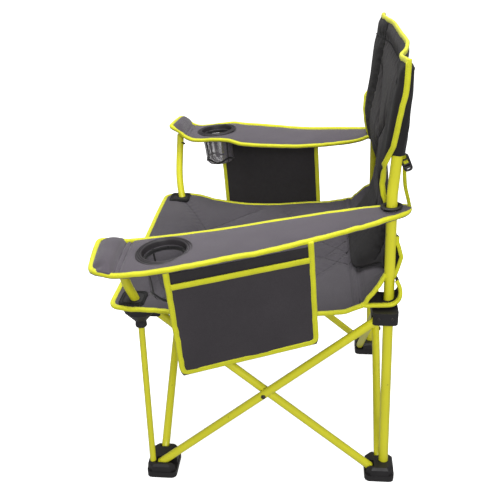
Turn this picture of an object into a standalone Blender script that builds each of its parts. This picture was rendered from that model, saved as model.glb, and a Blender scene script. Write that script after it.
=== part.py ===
"""Folding camp chair: a four-sided scissor frame with a padded sling seat.

Frame: +Z up, the floor at z = 0, the sitter faces -Y, +X is the sitter's left.
Each side of the frame is an X of two equal tubes. All eight tubes have the same length
and the same angle, so one fold angle closes the whole frame.
"""

from math import atan2, cos, degrees, hypot, pi, radians, sin

import bmesh
import bpy
from mathutils import Matrix, Vector

# ---- Scissor frame ----------------------------------------------------------
SPAN = 0.484              # between the two lower pivots of every X
PIVOT_LOW = 0.030         # height of the lower pivots
PIVOT_HIGH = 0.435        # height of the upper pivots
CROSS_X = SPAN / 2        # pivots of the front and rear X
SIDE_FRONT_Y = -0.237     # front pivots of the side X
SIDE_REAR_Y = SIDE_FRONT_Y + SPAN
SIDE_OUTER_X = 0.3015     # tube from the front foot to the rear slider
SIDE_INNER_X = 0.2815     # tube from the rear foot to the front hub
FRONT_LEFT_Y = -0.2395    # front tube that stands in the left foot
FRONT_RIGHT_Y = -0.2595   # front tube that stands in the right foot
REAR_LEFT_Y = 0.272       # rear tube that stands in the left foot
REAR_RIGHT_Y = 0.252      # rear tube that stands in the right foot
TUBE_R = 0.0095
TUBE_END = 0.008          # tube beyond its pivot
PIN_R = 0.003
PIN_HOLE_R = 0.0036
RIVET_R = 0.003
RIVET_HOLE_R = 0.0034
RIVET_HEAD_R = 0.0055
RIVET_HEAD = 0.0025
SLOT_HALF = 0.0105        # half the width of the slots that the tube ends turn in
SLOT_CLEAR = 0.0132       # a tube end's sweep round its pivot, with clearance
GAP = 0.0003

# ---- Front legs and arm posts -----------------------------------------------
LEG_X, LEG_Y = 0.304, -0.258
LEG_R, LEG_BORE_R = 0.007, 0.0055
LEG_TOP = 0.411
ROD_R = 0.0045
ROD_BOTTOM, ROD_TOP = 0.060, 0.432
POST_R = 0.0095
POST_BASE = Vector((0.301, -0.266, 0.445))
POST_ROUTE = [(0.301, -0.2665, 0.462), (0.3075, -0.2690, 0.478), (0.3225, -0.2715, 0.507),
              (0.344, -0.2725, 0.545)]
POST_TOP = Vector((0.3735, -0.2725, 0.6000))

# ---- Rear uprights ----------------------------------------------------------
UPRIGHT_X = 0.267
UPRIGHT_R = 0.011
UPRIGHT_FOOT_Y = 0.2837
UPRIGHT_LEAN = 0.0313     # forward lean of the straight stretch, dy over dz
UPRIGHT_BEND_Z = 0.700
UPRIGHT_TOP = Vector((0.286, 0.2735, 0.950))

# ---- Feet, hubs, sliders ----------------------------------------------------
FRONT_FOOT = ((0.238, 0.324), (-0.2715, -0.2015))
REAR_FOOT = ((0.236, 0.304), (0.239, 0.307))
FOOT_FLOOR = 0.012
FOOT_TOP = 0.036
FOOT_TAPER = 0.006
SLOT_FLOOR = PIVOT_LOW - SLOT_CLEAR
HUB_PLATE = (0.4490, 0.4555)
SLIDER_RISE = 0.2232      # of hubs and sliders over the whole fold

# ---- Fabric -----------------------------------------------------------------
FRAME_Y = 0.0055          # puts the origin under the middle of the chair's depth
SEAT_HINGE = (0.300, 0.467)
CUP_AXIS = (-0.2235, 0.659)
SEAT_Z = 0.4745           # top of the seat at its corners
SEAT_THICK = 0.015
SEAT_EDGE_SAG = 0.019     # of the side edges between the corner fittings
SEAT_SAG = 0.028          # of the middle below the side edges
SEAT_FLAT = (-0.200, 0.229)
SEAT_FLAT_X = 0.218
GROMMET_FRONT = (0.3010, -0.2680)
GROMMET_REAR = (0.267, 0.2660)
ARM_SLOPE = 0.0905        # the armrest climbs to the rear, dz over dy
CUP = Vector((0.405, -0.174, 0.627))
CUP_R = 0.055
CUP_HOLE_R = 0.0445
ARM_THICK = 0.014
ARM_HOLE = (UPRIGHT_X, 0.2632)
POCKET_TOP = ((0.4735, -0.165, 0.6195), (0.3780, 0.108, 0.6440))
POCKET_BOTTOM = ((0.455, -0.147, 0.388), (0.376, 0.122, 0.4245))
POCKET_PLY = 0.0035
POCKET_HEM = 0.14         # the front ply's hem, as a share of the way down the backing
BACK_BOTTOM, BACK_TOP = 0.478, 0.9485
BACK_HALF = 0.2435


def clear_scene():
    for old in list(bpy.data.objects):
        bpy.data.objects.remove(old, do_unlink=True)


def material(name, color, roughness, metallic=0.0):
    made = bpy.data.materials.new(name)
    made.use_nodes = True
    shader = made.node_tree.nodes["Principled BSDF"]
    shader.inputs["Base Color"].default_value = (*color, 1.0)
    shader.inputs["Roughness"].default_value = roughness
    shader.inputs["Metallic"].default_value = metallic
    return made


def finish(name, bm, look, smooth=False, hidden=False):
    """Turns a bmesh into a named object with its material."""
    bmesh.ops.recalc_face_normals(bm, faces=bm.faces)
    mesh = bpy.data.meshes.new(name)
    bm.to_mesh(mesh)
    bm.free()
    if look:
        mesh.materials.append(look)
    if smooth:
        mesh.shade_smooth()
        mesh.set_sharp_from_angle(angle=radians(35))
    obj = bpy.data.objects.new(name, mesh)
    bpy.context.collection.objects.link(obj)
    if hidden:
        obj.hide_render = True
        obj.display_type = "WIRE"
    return obj


def turned(profile, sides=16, matrix=None):
    """A closed bmesh turned from (radius, height) points listed from bottom to top.

    A profile whose first and last radius are 0 is a solid; any other profile is a ring
    whose outline closes on itself.
    """
    bm = bmesh.new()
    rings = []
    for radius, height in profile:
        if radius == 0.0:
            rings.append([bm.verts.new((0.0, 0.0, height))])
            continue
        turns = [2 * pi * i / sides for i in range(sides)]
        rings.append([bm.verts.new((radius * cos(t), radius * sin(t), height)) for t in turns])
    pairs = list(zip(rings, rings[1:]))
    if profile[0][0] > 0.0:
        pairs.append((rings[-1], rings[0]))
    for low, high in pairs:
        for i in range(sides):
            j = (i + 1) % sides
            if len(low) == 1:
                bm.faces.new((low[0], high[j], high[i]))
            elif len(high) == 1:
                bm.faces.new((low[i], low[j], high[0]))
            else:
                bm.faces.new((low[i], low[j], high[j], high[i]))
    if matrix:
        bm.transform(matrix)
    return bm


def rod_profile(radius, low, high):
    return [(0.0, low), (radius, low), (radius, high), (0.0, high)]


def ring_profile(inner, outer, low, high):
    return [(inner, low), (outer, low), (outer, high), (inner, high)]


def along(start, direction):
    """The matrix that takes the Z axis to a line through start."""
    turn = Vector(direction).to_track_quat("Z", "Y").to_matrix().to_4x4()
    return Matrix.Translation(start) @ turn


def rod(name, start, direction, radius, low, high, look, sides=16, hidden=False):
    bm = turned(rod_profile(radius, low, high), sides, along(start, direction))
    return finish(name, bm, look, smooth=True, hidden=hidden)


def box(name, xs, ys, zs, look=None, hidden=False, bevel=0.0):
    bm = bmesh.new()
    bmesh.ops.create_cube(bm, size=1.0)
    middle = Vector([sum(span) / 2 for span in (xs, ys, zs)])
    sizes = [max(span) - min(span) for span in (xs, ys, zs)]
    bm.transform(Matrix.Translation(middle) @ Matrix.Diagonal((*sizes, 1.0)))
    if bevel:
        upright = [e for e in bm.edges if abs((e.verts[0].co - e.verts[1].co).normalized().z) > 0.9]
        bmesh.ops.bevel(bm, geom=upright, offset=bevel, segments=3, profile=0.5, affect="EDGES")
    return finish(name, bm, look, hidden=hidden)


def boolean(obj, other, operation):
    step = obj.modifiers.new(f"{operation.lower()}_{other.name}", "BOOLEAN")
    step.operation = operation
    step.object = other
    step.solver = "EXACT"


def cut(obj, *cutters):
    for cutter in cutters:
        boolean(obj, cutter, "DIFFERENCE")


def join(obj, *others):
    for other in others:
        boolean(obj, other, "UNION")


def mirrored(bm, side):
    """Mirrors a bmesh modelled on the left to the side that side names (1 left, -1 right)."""
    if side < 0:
        bm.transform(Matrix.Scale(-1, 4, (1, 0, 0)))
        bmesh.ops.reverse_faces(bm, faces=bm.faces)
    return bm


def loft(outlines, closed_ends=True):
    """A closed bmesh over outlines with equal numbers of points."""
    bm = bmesh.new()
    rings = [[bm.verts.new(p) for p in outline] for outline in outlines]
    count = len(rings[0])
    for low, high in zip(rings, rings[1:]):
        for i in range(count):
            j = (i + 1) % count
            bm.faces.new((low[i], low[j], high[j], high[i]))
    if closed_ends:
        bm.faces.new(rings[0][::-1])
        bm.faces.new(rings[-1])
    return bm


def upright_y(z):
    return UPRIGHT_FOOT_Y - UPRIGHT_LEAN * (z - FOOT_FLOOR)


def bent_tube(name, points, radius, look, side, sides_resolution=3):
    """A round bar along a smooth route through points, given for the left side."""
    curve = bpy.data.curves.new(name, "CURVE")
    curve.dimensions = "3D"
    curve.bevel_depth = radius
    curve.bevel_resolution = sides_resolution
    curve.use_fill_caps = True
    curve.resolution_u = 4
    spline = curve.splines.new("BEZIER")
    spline.bezier_points.add(len(points) - 1)
    for knot, place in zip(spline.bezier_points, points):
        knot.co = (side * place[0], place[1], place[2])
        knot.handle_left_type = "AUTO"
        knot.handle_right_type = "AUTO"
    curve.materials.append(look)
    obj = bpy.data.objects.new(name, curve)
    bpy.context.collection.objects.link(obj)
    return obj


# ---- Frame pieces -----------------------------------------------------------
def scissor_tube(name, bottom, top, pin_axis, look):
    """A straight tube from its lower to its upper pivot, with three pin holes."""
    bottom, top = Vector(bottom), Vector(top)
    direction = top - bottom
    length = direction.length
    obj = rod(name, bottom, direction, TUBE_R, -TUBE_END, length + TUBE_END, look, sides=14)
    holes = ((bottom, PIN_HOLE_R), ((bottom + top) / 2, RIVET_HOLE_R), (top, PIN_HOLE_R))
    for number, (place, radius) in enumerate(holes):
        hole = rod(f"cut_{name}_{number}", place, pin_axis, radius, -0.02, 0.02, None, 10, True)
        cut(obj, hole)
    return obj


def rivet(name, middle, pin_axis, look):
    """A rivet through the two tubes that cross at middle, with a domed head at each end."""
    half = abs(SIDE_OUTER_X - SIDE_INNER_X) / 2 + TUBE_R + GAP
    head = half + RIVET_HEAD
    profile = [
        (0.0, -head), (RIVET_HEAD_R * 0.7, -head), (RIVET_HEAD_R, -half - 0.0005),
        (RIVET_HEAD_R, -half), (RIVET_R, -half), (RIVET_R, half), (RIVET_HEAD_R, half),
        (RIVET_HEAD_R, half + 0.0005), (RIVET_HEAD_R * 0.7, head), (0.0, head),
    ]
    return finish(name, turned(profile, 12, along(middle, pin_axis)), look, smooth=True)


def side_x(side):
    return 1 if side == "left" else -1


def slot(name, xs, ys, zs, sign):
    xs = (sign * xs[0], sign * xs[1])
    return box(name, (min(xs), max(xs)), ys, zs, hidden=True)


def pin(name, middle, axis, half):
    return rod(name, middle, axis, PIN_R, -half, half, None, 10, True)


def foot(name, sign, spans, cross_y, side_tube_x, side_y, side_opens, socket, look):
    """A moulded foot: a floor pad and a tapered housing with a socket and two slots."""
    (x0, x1), (y0, y1) = spans
    body = box(name, sorted((sign * x0, sign * x1)), (y0, y1), (0.0, 0.0155), look, bevel=0.012)
    crown = []
    for height, shrink in ((0.0150, 0.001), (FOOT_TOP - 0.006, 0.002), (FOOT_TOP, FOOT_TAPER)):
        lo_x, hi_x = sorted((sign * (x0 + shrink), sign * (x1 - shrink)))
        lo_y, hi_y = y0 + shrink, y1 - shrink
        corner = 0.012
        crown.append([
            (lo_x + corner, lo_y, height), (hi_x - corner, lo_y, height),
            (hi_x, lo_y + corner, height), (hi_x, hi_y - corner, height),
            (hi_x - corner, hi_y, height), (lo_x + corner, hi_y, height),
            (lo_x, hi_y - corner, height), (lo_x, lo_y + corner, height),
        ])
    join(body, finish(f"add_{name}_crown", loft(crown), None, hidden=True))
    high = (SLOT_FLOOR, 0.06)
    if side_opens > 0:
        side_span = (side_y - SLOT_CLEAR, y1 + 0.01)
    else:
        side_span = (y0 - 0.01, side_y + SLOT_CLEAR)
    side_slot = (side_tube_x - SLOT_HALF, side_tube_x + SLOT_HALF)
    cross_slot = (x0 - 0.01, CROSS_X + SLOT_CLEAR)
    cross_span = (cross_y - SLOT_HALF, cross_y + SLOT_HALF)
    cut(
        body,
        slot(f"cut_{name}_side", side_slot, side_span, high, sign),
        slot(f"cut_{name}_cross", cross_slot, cross_span, high, sign),
        socket,
    )
    side_pin = Vector((sign * side_tube_x, side_y, PIVOT_LOW))
    cross_pin = Vector((sign * CROSS_X, cross_y, PIVOT_LOW))
    join(
        body,
        pin(f"add_{name}_side_pin", side_pin, (1, 0, 0), SLOT_HALF + 0.001),
        pin(f"add_{name}_cross_pin", cross_pin, (0, 1, 0), SLOT_HALF + 0.001),
    )
    return body


def front_foot(side, look):
    sign = side_x(side)
    name = f"front_{side}_foot"
    start = Vector((sign * LEG_X, LEG_Y, 0.0))
    socket = rod(f"cut_{name}_socket", start, (0, 0, 1), LEG_R + GAP, FOOT_FLOOR, 0.06, None, 16, True)
    cross_y = FRONT_LEFT_Y if side == "left" else FRONT_RIGHT_Y
    return foot(name, sign, FRONT_FOOT, cross_y, SIDE_OUTER_X, SIDE_FRONT_Y, 1, socket, look)


def rear_foot(side, look):
    sign = side_x(side)
    name = f"rear_{side}_foot"
    start = Vector((sign * UPRIGHT_X, UPRIGHT_FOOT_Y, FOOT_FLOOR))
    socket = rod(
        f"cut_{name}_socket", start, (0, -UPRIGHT_LEAN, 1), UPRIGHT_R + 2 * GAP, 0.0, 0.06,
        None, 16, True,
    )
    cross_y = REAR_LEFT_Y if side == "left" else REAR_RIGHT_Y
    return foot(name, sign, REAR_FOOT, cross_y, SIDE_INNER_X, SIDE_REAR_Y, -1, socket, look)


def front_leg(side, look):
    start = Vector((side_x(side) * LEG_X, LEG_Y, 0.0))
    profile = ring_profile(LEG_BORE_R, LEG_R, FOOT_FLOOR + GAP, LEG_TOP)
    bm = turned(profile, 16, along(start, (0, 0, 1)))
    return finish(f"front_{side}_leg_tube", bm, look, smooth=True)


def slide_rod(side, look):
    start = Vector((side_x(side) * LEG_X, LEG_Y, 0.0))
    return rod(f"front_{side}_slide_rod", start, (0, 0, 1), ROD_R, ROD_BOTTOM, ROD_TOP, look, 12)


def front_hub(side, look):
    """The moulded hub: a neck on the leg, a funnel, a top plate and two pivot slots."""
    sign = side_x(side)
    name = f"front_{side}_hub"
    cross_y = FRONT_RIGHT_Y if side == "left" else FRONT_LEFT_Y
    axis = Vector((sign * LEG_X, LEG_Y, 0.0))
    funnel = [
        (0.0, 0.4035), (0.0118, 0.4035), (0.0128, 0.4060), (0.0118, 0.4165), (0.0150, 0.4205),
        (0.0340, 0.4430), (0.0350, HUB_PLATE[1]), (0.0, HUB_PLATE[1]),
    ]
    body = finish(name, turned(funnel, 20, along(axis, (0, 0, 1))), look, smooth=True)
    lug_x = sorted((sign * 0.226, sign * 0.300))
    lug = box(
        f"add_{name}_lug", lug_x, (cross_y - SLOT_HALF - 0.004, SIDE_FRONT_Y + 0.020),
        (0.4240, HUB_PLATE[1] - 0.0002), hidden=True, bevel=0.006,
    )
    join(body, lug)
    under = (0.3800, PIVOT_HIGH + SLOT_CLEAR)
    cut(
        body,
        slot(f"cut_{name}_side", (SIDE_INNER_X - SLOT_HALF, SIDE_INNER_X + SLOT_HALF),
             (SIDE_FRONT_Y - SLOT_CLEAR, -0.190), under, sign),
        slot(f"cut_{name}_cross", (0.200, CROSS_X + SLOT_CLEAR),
             (cross_y - SLOT_HALF, cross_y + SLOT_HALF), under, sign),
        rod(f"cut_{name}_neck", axis, (0, 0, 1), LEG_R + 0.0005, 0.380, 0.4135, None, 16, True),
        rod(f"cut_{name}_rod", axis, (0, 0, 1), ROD_R + GAP, 0.380, ROD_TOP + GAP, None, 12, True),
        rod(f"cut_{name}_post", (sign * POST_BASE.x, POST_BASE.y, 0.0), (0, 0, 1),
            POST_R + 4 * GAP, POST_BASE.z - 0.0015, 0.470, None, 16, True),
    )
    side_pin = Vector((sign * SIDE_INNER_X, SIDE_FRONT_Y, PIVOT_HIGH))
    cross_pin = Vector((sign * CROSS_X, cross_y, PIVOT_HIGH))
    join(
        body,
        pin(f"add_{name}_side_pin", side_pin, (1, 0, 0), SLOT_HALF + 0.001),
        pin(f"add_{name}_cross_pin", cross_pin, (0, 1, 0), SLOT_HALF + 0.001),
    )
    return body


def arm_post(side, look):
    points = [POST_BASE, *POST_ROUTE, POST_TOP]
    return bent_tube(f"front_{side}_arm_post", points, POST_R, look, side_x(side))


def post_cap(side, look):
    """A plastic plug on the arm post's top end."""
    sign = side_x(side)
    top = Vector((sign * POST_TOP.x, POST_TOP.y, POST_TOP.z))
    before = Vector((sign * POST_ROUTE[-1][0], POST_ROUTE[-1][1], POST_ROUTE[-1][2]))
    profile = [(0.0, GAP), (POST_R + 0.001, GAP), (POST_R + 0.001, 0.003), (0.006, 0.0055), (0.0, 0.0055)]
    bm = turned(profile, 14, along(top, top - before))
    return finish(f"front_{side}_post_cap", bm, look, smooth=True)


def upright(side, look):
    bend = Vector((UPRIGHT_X, upright_y(UPRIGHT_BEND_Z), UPRIGHT_BEND_Z))
    base = Vector((UPRIGHT_X, upright_y(FOOT_FLOOR + GAP), FOOT_FLOOR + GAP))
    low = base.lerp(bend, 0.45)
    near_bend = base.lerp(bend, 0.985)
    after = bend.lerp(UPRIGHT_TOP, 0.30) + Vector((-0.0012, 0.0, 0.0))
    points = [base, low, near_bend, bend, after, UPRIGHT_TOP]
    return bent_tube(f"rear_{side}_upright", points, UPRIGHT_R, look, side_x(side))


def upright_cap(side, look):
    sign = side_x(side)
    top = Vector((sign * UPRIGHT_TOP.x, UPRIGHT_TOP.y, UPRIGHT_TOP.z))
    bend = Vector((sign * UPRIGHT_X, upright_y(UPRIGHT_BEND_Z), UPRIGHT_BEND_Z))
    wide = UPRIGHT_R + 0.001
    profile = [(0.0, 2 * GAP), (wide, 2 * GAP), (wide, 0.004), (0.008, 0.0075), (0.0, 0.0075)]
    bm = turned(profile, 14, along(top, top - bend))
    return finish(f"rear_{side}_upright_cap", bm, look, smooth=True)


def rear_slider(side, look):
    """The moulded slider: it runs up the upright and holds the tops of two tubes."""
    sign = side_x(side)
    name = f"rear_{side}_slider"
    cross_y = REAR_RIGHT_Y if side == "left" else REAR_LEFT_Y
    xs = sorted((sign * 0.227, sign * 0.3185))
    body = box(name, xs, (0.2335, 0.2875), (0.4285, 0.4565), look, bevel=0.010)
    under = (0.400, PIVOT_HIGH + SLOT_CLEAR)
    bore_r = UPRIGHT_R + 0.0010
    rest_y = upright_y(PIVOT_HIGH)
    folded_y = upright_y(PIVOT_HIGH + SLIDER_RISE)
    centre_x = sign * UPRIGHT_X
    cut(
        body,
        slot(f"cut_{name}_side", (SIDE_OUTER_X - SLOT_HALF, SIDE_OUTER_X + SLOT_HALF),
             (0.220, SIDE_REAR_Y + SLOT_CLEAR), under, sign),
        slot(f"cut_{name}_cross", (0.200, CROSS_X + SLOT_CLEAR),
             (cross_y - SLOT_HALF, cross_y + SLOT_HALF), under, sign),
        rod(f"cut_{name}_bore", (centre_x, rest_y, 0.0), (0, 0, 1), bore_r, 0.40, 0.48, None, 20, True),
        rod(f"cut_{name}_bore_folded", (centre_x, folded_y, 0.0), (0, 0, 1), bore_r, 0.40, 0.48,
            None, 20, True),
        box(f"cut_{name}_bore_between", (centre_x - bore_r * 0.98, centre_x + bore_r * 0.98),
            (folded_y, rest_y), (0.40, 0.48), hidden=True),
    )
    side_pin = Vector((sign * SIDE_OUTER_X, SIDE_REAR_Y, PIVOT_HIGH))
    cross_pin = Vector((sign * CROSS_X, cross_y, PIVOT_HIGH))
    join(
        body,
        pin(f"add_{name}_side_pin", side_pin, (1, 0, 0), SLOT_HALF + 0.001),
        pin(f"add_{name}_cross_pin", cross_pin, (0, 1, 0), SLOT_HALF + 0.001),
    )
    return body


# ---- Fabric pieces ----------------------------------------------------------
def seat_top(x, y):
    """Height of the seat's upper face: level over the corner fittings, lower between them."""
    along_side = min(1.0, max(0.0, (y - SEAT_FLAT[0]) / (SEAT_FLAT[1] - SEAT_FLAT[0])))
    across = min(1.0, max(0.0, (SEAT_FLAT_X - abs(x)) / SEAT_FLAT_X))
    middle = across * across * (3 - 2 * across)
    between = sin(pi * along_side) ** 1.3
    return SEAT_Z - SEAT_EDGE_SAG * between - SEAT_SAG * middle * (0.45 + 0.55 * between)


def seat_half(side, look):
    """Half of the sling seat: it sags to the middle and has a hole at each corner."""
    sign = side_x(side)
    name = f"seat_{side}_half"
    rows = 12
    columns = 7
    bm = bmesh.new()
    grids = []
    for level in (0, 1):
        grid = []
        for i in range(rows + 1):
            t = i / rows
            y = -0.318 + 0.614 * t
            line = []
            for j in range(columns + 1):
                s = j / columns
                corner = abs(2 * t - 1) ** 3
                widest = (0.300 + 0.028 * corner) if t < 0.5 else (0.293 + 0.011 * corner)
                x = GAP + (widest - GAP) * s
                z = seat_top(x, y) - (1 - level) * SEAT_THICK
                line.append(bm.verts.new((x, y, z)))
            grid.append(line)
        grids.append(grid)
    low, high = grids
    for i in range(rows):
        for j in range(columns):
            bm.faces.new((low[i][j], low[i + 1][j], low[i + 1][j + 1], low[i][j + 1]))
            bm.faces.new((high[i][j], high[i][j + 1], high[i + 1][j + 1], high[i + 1][j]))
    for i in range(rows):
        bm.faces.new((low[i][0], high[i][0], high[i + 1][0], low[i + 1][0]))
        bm.faces.new((low[i][columns], low[i + 1][columns], high[i + 1][columns], high[i][columns]))
    for j in range(columns):
        bm.faces.new((low[0][j], low[0][j + 1], high[0][j + 1], high[0][j]))
        bm.faces.new((low[rows][j], high[rows][j], high[rows][j + 1], low[rows][j + 1]))
    body = finish(name, mirrored(bm, sign), look, smooth=True)
    for number, (x, y) in enumerate((GROMMET_FRONT, GROMMET_REAR)):
        hole = rod(f"cut_{name}_{number}", (sign * x, y, 0.40), (0, 0, 1), 0.0205, 0.0, 0.1, None, 16, True)
        cut(body, hole)
    return body


def seat_grommet(end, side, look):
    """The moulded eyelet in a seat corner that a tube stands through."""
    x, y = GROMMET_FRONT if end == "front" else GROMMET_REAR
    inner = 0.0135 if end == "front" else 0.0155
    bm = turned(ring_profile(inner, 0.0200, 0.4600, 0.4700), 18)
    bm.transform(Matrix.Translation((side_x(side) * x, y, 0.0)))
    return finish(f"seat_{end}_{side}_grommet", bm, look, smooth=True)


def arm_z(y):
    return CUP.z + ARM_SLOPE * (y - CUP.y)


ARM_CENTRE = [  # y, centre x, half width along the armrest
    (-0.3155, 0.4110, 0.0600), (-0.3080, 0.4110, 0.0670), (-0.2400, 0.4090, 0.0735),
    (-0.1740, 0.4050, 0.0760), (-0.1050, 0.3940, 0.0740), (-0.0350, 0.3740, 0.0690),
    (0.0350, 0.3490, 0.0640), (0.1050, 0.3210, 0.0570), (0.1750, 0.2935, 0.0480),
    (0.2250, 0.2815, 0.0350), (0.2632, 0.27375, 0.02725), (0.2870, 0.2677, 0.0200),
    (0.2990, 0.2655, 0.0090),
]


def armrest(side, look):
    """The armrest panel, with the cup hole and the hole round the rear upright."""
    sign = side_x(side)
    name = f"{side}_armrest"
    outlines = []
    for y, centre, half in ARM_CENTRE:
        z = arm_z(y)
        low, high = z - ARM_THICK / 2, z + ARM_THICK / 2
        outlines.append([
            (centre - half, y, low), (centre + half, y, low),
            (centre + half, y, high), (centre - half, y, high),
        ])
    body = finish(name, mirrored(loft(outlines), sign), look)
    tilt = (0, -ARM_SLOPE, 1)
    centre = (sign * CUP.x, CUP.y, CUP.z)
    cut(
        body,
        rod(f"cut_{name}_cup", centre, tilt, CUP_HOLE_R, -0.03, 0.03, None, 28, True),
        rod(f"cut_{name}_upright", (sign * ARM_HOLE[0], ARM_HOLE[1], arm_z(ARM_HOLE[1])), tilt,
            0.0180, -0.03, 0.03, None, 18, True),
    )
    return body


def arm_eyelet(side, look):
    sign = side_x(side)
    place = Vector((sign * ARM_HOLE[0], ARM_HOLE[1], arm_z(ARM_HOLE[1])))
    bm = turned(ring_profile(0.0145, 0.0175, -0.0085, 0.0085), 18, along(place, (0, -ARM_SLOPE, 1)))
    return finish(f"{side}_armrest_eyelet", bm, look, smooth=True)


def cup_ring(side, look):
    """The moulded rim of the cup holder: a rounded flange over a short collar."""
    sign = side_x(side)
    place = Vector((sign * CUP.x, CUP.y, CUP.z))
    top = ARM_THICK / 2
    profile = [
        (0.0415, -0.016), (0.0440, -0.016), (0.0440, top + GAP), (CUP_R, top + GAP),
        (CUP_R, top + 0.0020), (CUP_R - 0.003, top + 0.0042), (0.0435, top + 0.0046),
        (0.0415, top + 0.0030),
    ]
    bm = turned(profile, 32, along(place, (0, -ARM_SLOPE, 1)))
    return finish(f"{side}_cup_ring", bm, look, smooth=True)


def cup_bag(side, look):
    """The open mesh basket that hangs in the cup holder's rim."""
    sign = side_x(side)
    place = Vector((sign * CUP.x, CUP.y, CUP.z))
    profile = [
        (0.0, -0.090), (0.0300, -0.090), (0.0385, -0.020), (0.0412, -0.012), (0.0412, -0.0005),
        (0.0398, -0.0005), (0.0398, -0.012), (0.0371, -0.020), (0.0290, -0.0885), (0.0, -0.0885),
    ]
    bm = turned(profile, 20, along(place, (0, -ARM_SLOPE, 1)))
    return finish(f"{side}_cup_bag", bm, look, smooth=True)


def pocket_layer(name, sign, offset, thick, drop, look):
    """One ply of the side pocket: a panel that hangs from the armrest's outer edge."""
    top_front, top_rear = (Vector(p) for p in POCKET_TOP)
    low_front, low_rear = (Vector(p) for p in POCKET_BOTTOM)
    outward = (low_front - top_front).cross(top_rear - top_front).normalized()
    outward = outward if outward.x > 0 else -outward
    rows, columns = 4, 6
    bm = bmesh.new()
    sheets = []
    for depth in (offset, offset + thick):
        sheet = []
        for i in range(rows + 1):
            line = []
            for j in range(columns + 1):
                high = top_front.lerp(top_rear, j / columns)
                share = drop + (1 - drop) * i / rows
                place = high.lerp(low_front.lerp(low_rear, j / columns), share)
                line.append(bm.verts.new(place + outward * depth))
            sheet.append(line)
        sheets.append(sheet)
    inner, outer = sheets
    for i in range(rows):
        for j in range(columns):
            bm.faces.new((inner[i][j], inner[i + 1][j], inner[i + 1][j + 1], inner[i][j + 1]))
            bm.faces.new((outer[i][j], outer[i][j + 1], outer[i + 1][j + 1], outer[i + 1][j]))
    for i in range(rows):
        bm.faces.new((inner[i][0], outer[i][0], outer[i + 1][0], inner[i + 1][0]))
        bm.faces.new((inner[i][-1], inner[i + 1][-1], outer[i + 1][-1], outer[i][-1]))
    for j in range(columns):
        bm.faces.new((inner[0][j], inner[0][j + 1], outer[0][j + 1], outer[0][j]))
        bm.faces.new((inner[-1][j], outer[-1][j], outer[-1][j + 1], inner[-1][j + 1]))
    return finish(name, mirrored(bm, sign), look)


def side_pocket(side, look):
    sign = side_x(side)
    pocket_layer(f"{side}_pocket_backing", sign, 0.0, POCKET_PLY, 0.0, look)
    pocket_layer(f"{side}_pocket_front", sign, POCKET_PLY + 2 * GAP, POCKET_PLY, POCKET_HEM, look)


def back_depth(x, z):
    """y of the backrest's middle surface: it bellies out forward low down and sags in the middle."""
    t = (z - BACK_BOTTOM) / (BACK_TOP - BACK_BOTTOM)
    edge = 0.2560 - 0.018 * sin(pi * min(1.0, t / 0.9)) + 0.012 * t * t
    sag = 0.020 * (1 - (x / BACK_HALF) ** 2)
    return edge + sag * (0.3 + 0.7 * t)


def backrest(look):
    """The backrest panel between the uprights."""
    rows, columns = 9, 10
    thick = 0.022
    bm = bmesh.new()
    sheets = []
    for side in (-1, 1):
        sheet = []
        for i in range(rows + 1):
            line = []
            for j in range(columns + 1):
                x = BACK_HALF * (2 * j / columns - 1)
                dome = 0.010 * (1 - (x / BACK_HALF) ** 2)
                z = BACK_BOTTOM + (BACK_TOP - BACK_BOTTOM + dome) * i / rows
                line.append(bm.verts.new((x, back_depth(x, min(z, BACK_TOP)) + side * thick / 2, z)))
            sheet.append(line)
        sheets.append(sheet)
    front, rear = sheets
    for i in range(rows):
        for j in range(columns):
            bm.faces.new((front[i][j], front[i][j + 1], front[i + 1][j + 1], front[i + 1][j]))
            bm.faces.new((rear[i][j], rear[i + 1][j], rear[i + 1][j + 1], rear[i][j + 1]))
    for i in range(rows):
        bm.faces.new((front[i][0], front[i + 1][0], rear[i + 1][0], rear[i][0]))
        bm.faces.new((front[i][-1], rear[i][-1], rear[i + 1][-1], front[i + 1][-1]))
    for j in range(columns):
        bm.faces.new((front[0][j], rear[0][j], rear[0][j + 1], front[0][j + 1]))
        bm.faces.new((front[-1][j], front[-1][j + 1], rear[-1][j + 1], rear[-1][j]))
    return finish("backrest", bm, look, smooth=True)


def upright_at(z):
    """The centre of the bent upright above the armrest, on the left."""
    t = max(0.0, (z - UPRIGHT_BEND_Z) / (UPRIGHT_TOP.z - UPRIGHT_BEND_Z))
    bend = Vector((UPRIGHT_X, upright_y(UPRIGHT_BEND_Z), UPRIGHT_BEND_Z))
    return bend.lerp(UPRIGHT_TOP, t)


def pole_sleeve(side, look):
    """The sewn sleeve, closed at its top, that holds an upright at the back's corner."""
    sign = side_x(side)
    inner, outer = 0.0145, 0.0175
    turns = 14

    def ring(z, radius):
        middle = upright_at(z)
        angles = [2 * pi * i / turns for i in range(turns)]
        return [(middle.x + radius * cos(a), middle.y + radius * sin(a), z) for a in angles]

    low, high = 0.785, 0.966
    outside = [ring(low + (high - low) * i / 4, outer) for i in range(5)]
    inside = [ring(high - 0.004 - (high - 0.004 - low) * i / 4, inner) for i in range(5)]
    bm = bmesh.new()
    rings = [[bm.verts.new(p) for p in line] for line in outside + inside]
    for first, second in zip(rings[:5], rings[1:5]):
        for i in range(turns):
            j = (i + 1) % turns
            bm.faces.new((first[i], first[j], second[j], second[i]))
    for first, second in zip(rings[5:], rings[6:]):
        for i in range(turns):
            j = (i + 1) % turns
            bm.faces.new((first[i], first[j], second[j], second[i]))
    for i in range(turns):
        j = (i + 1) % turns
        bm.faces.new((rings[9][i], rings[9][j], rings[0][j], rings[0][i]))
    bm.faces.new(rings[4])
    bm.faces.new(rings[5])
    return finish(f"{side}_pole_sleeve", mirrored(bm, sign), look, smooth=True)


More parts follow.
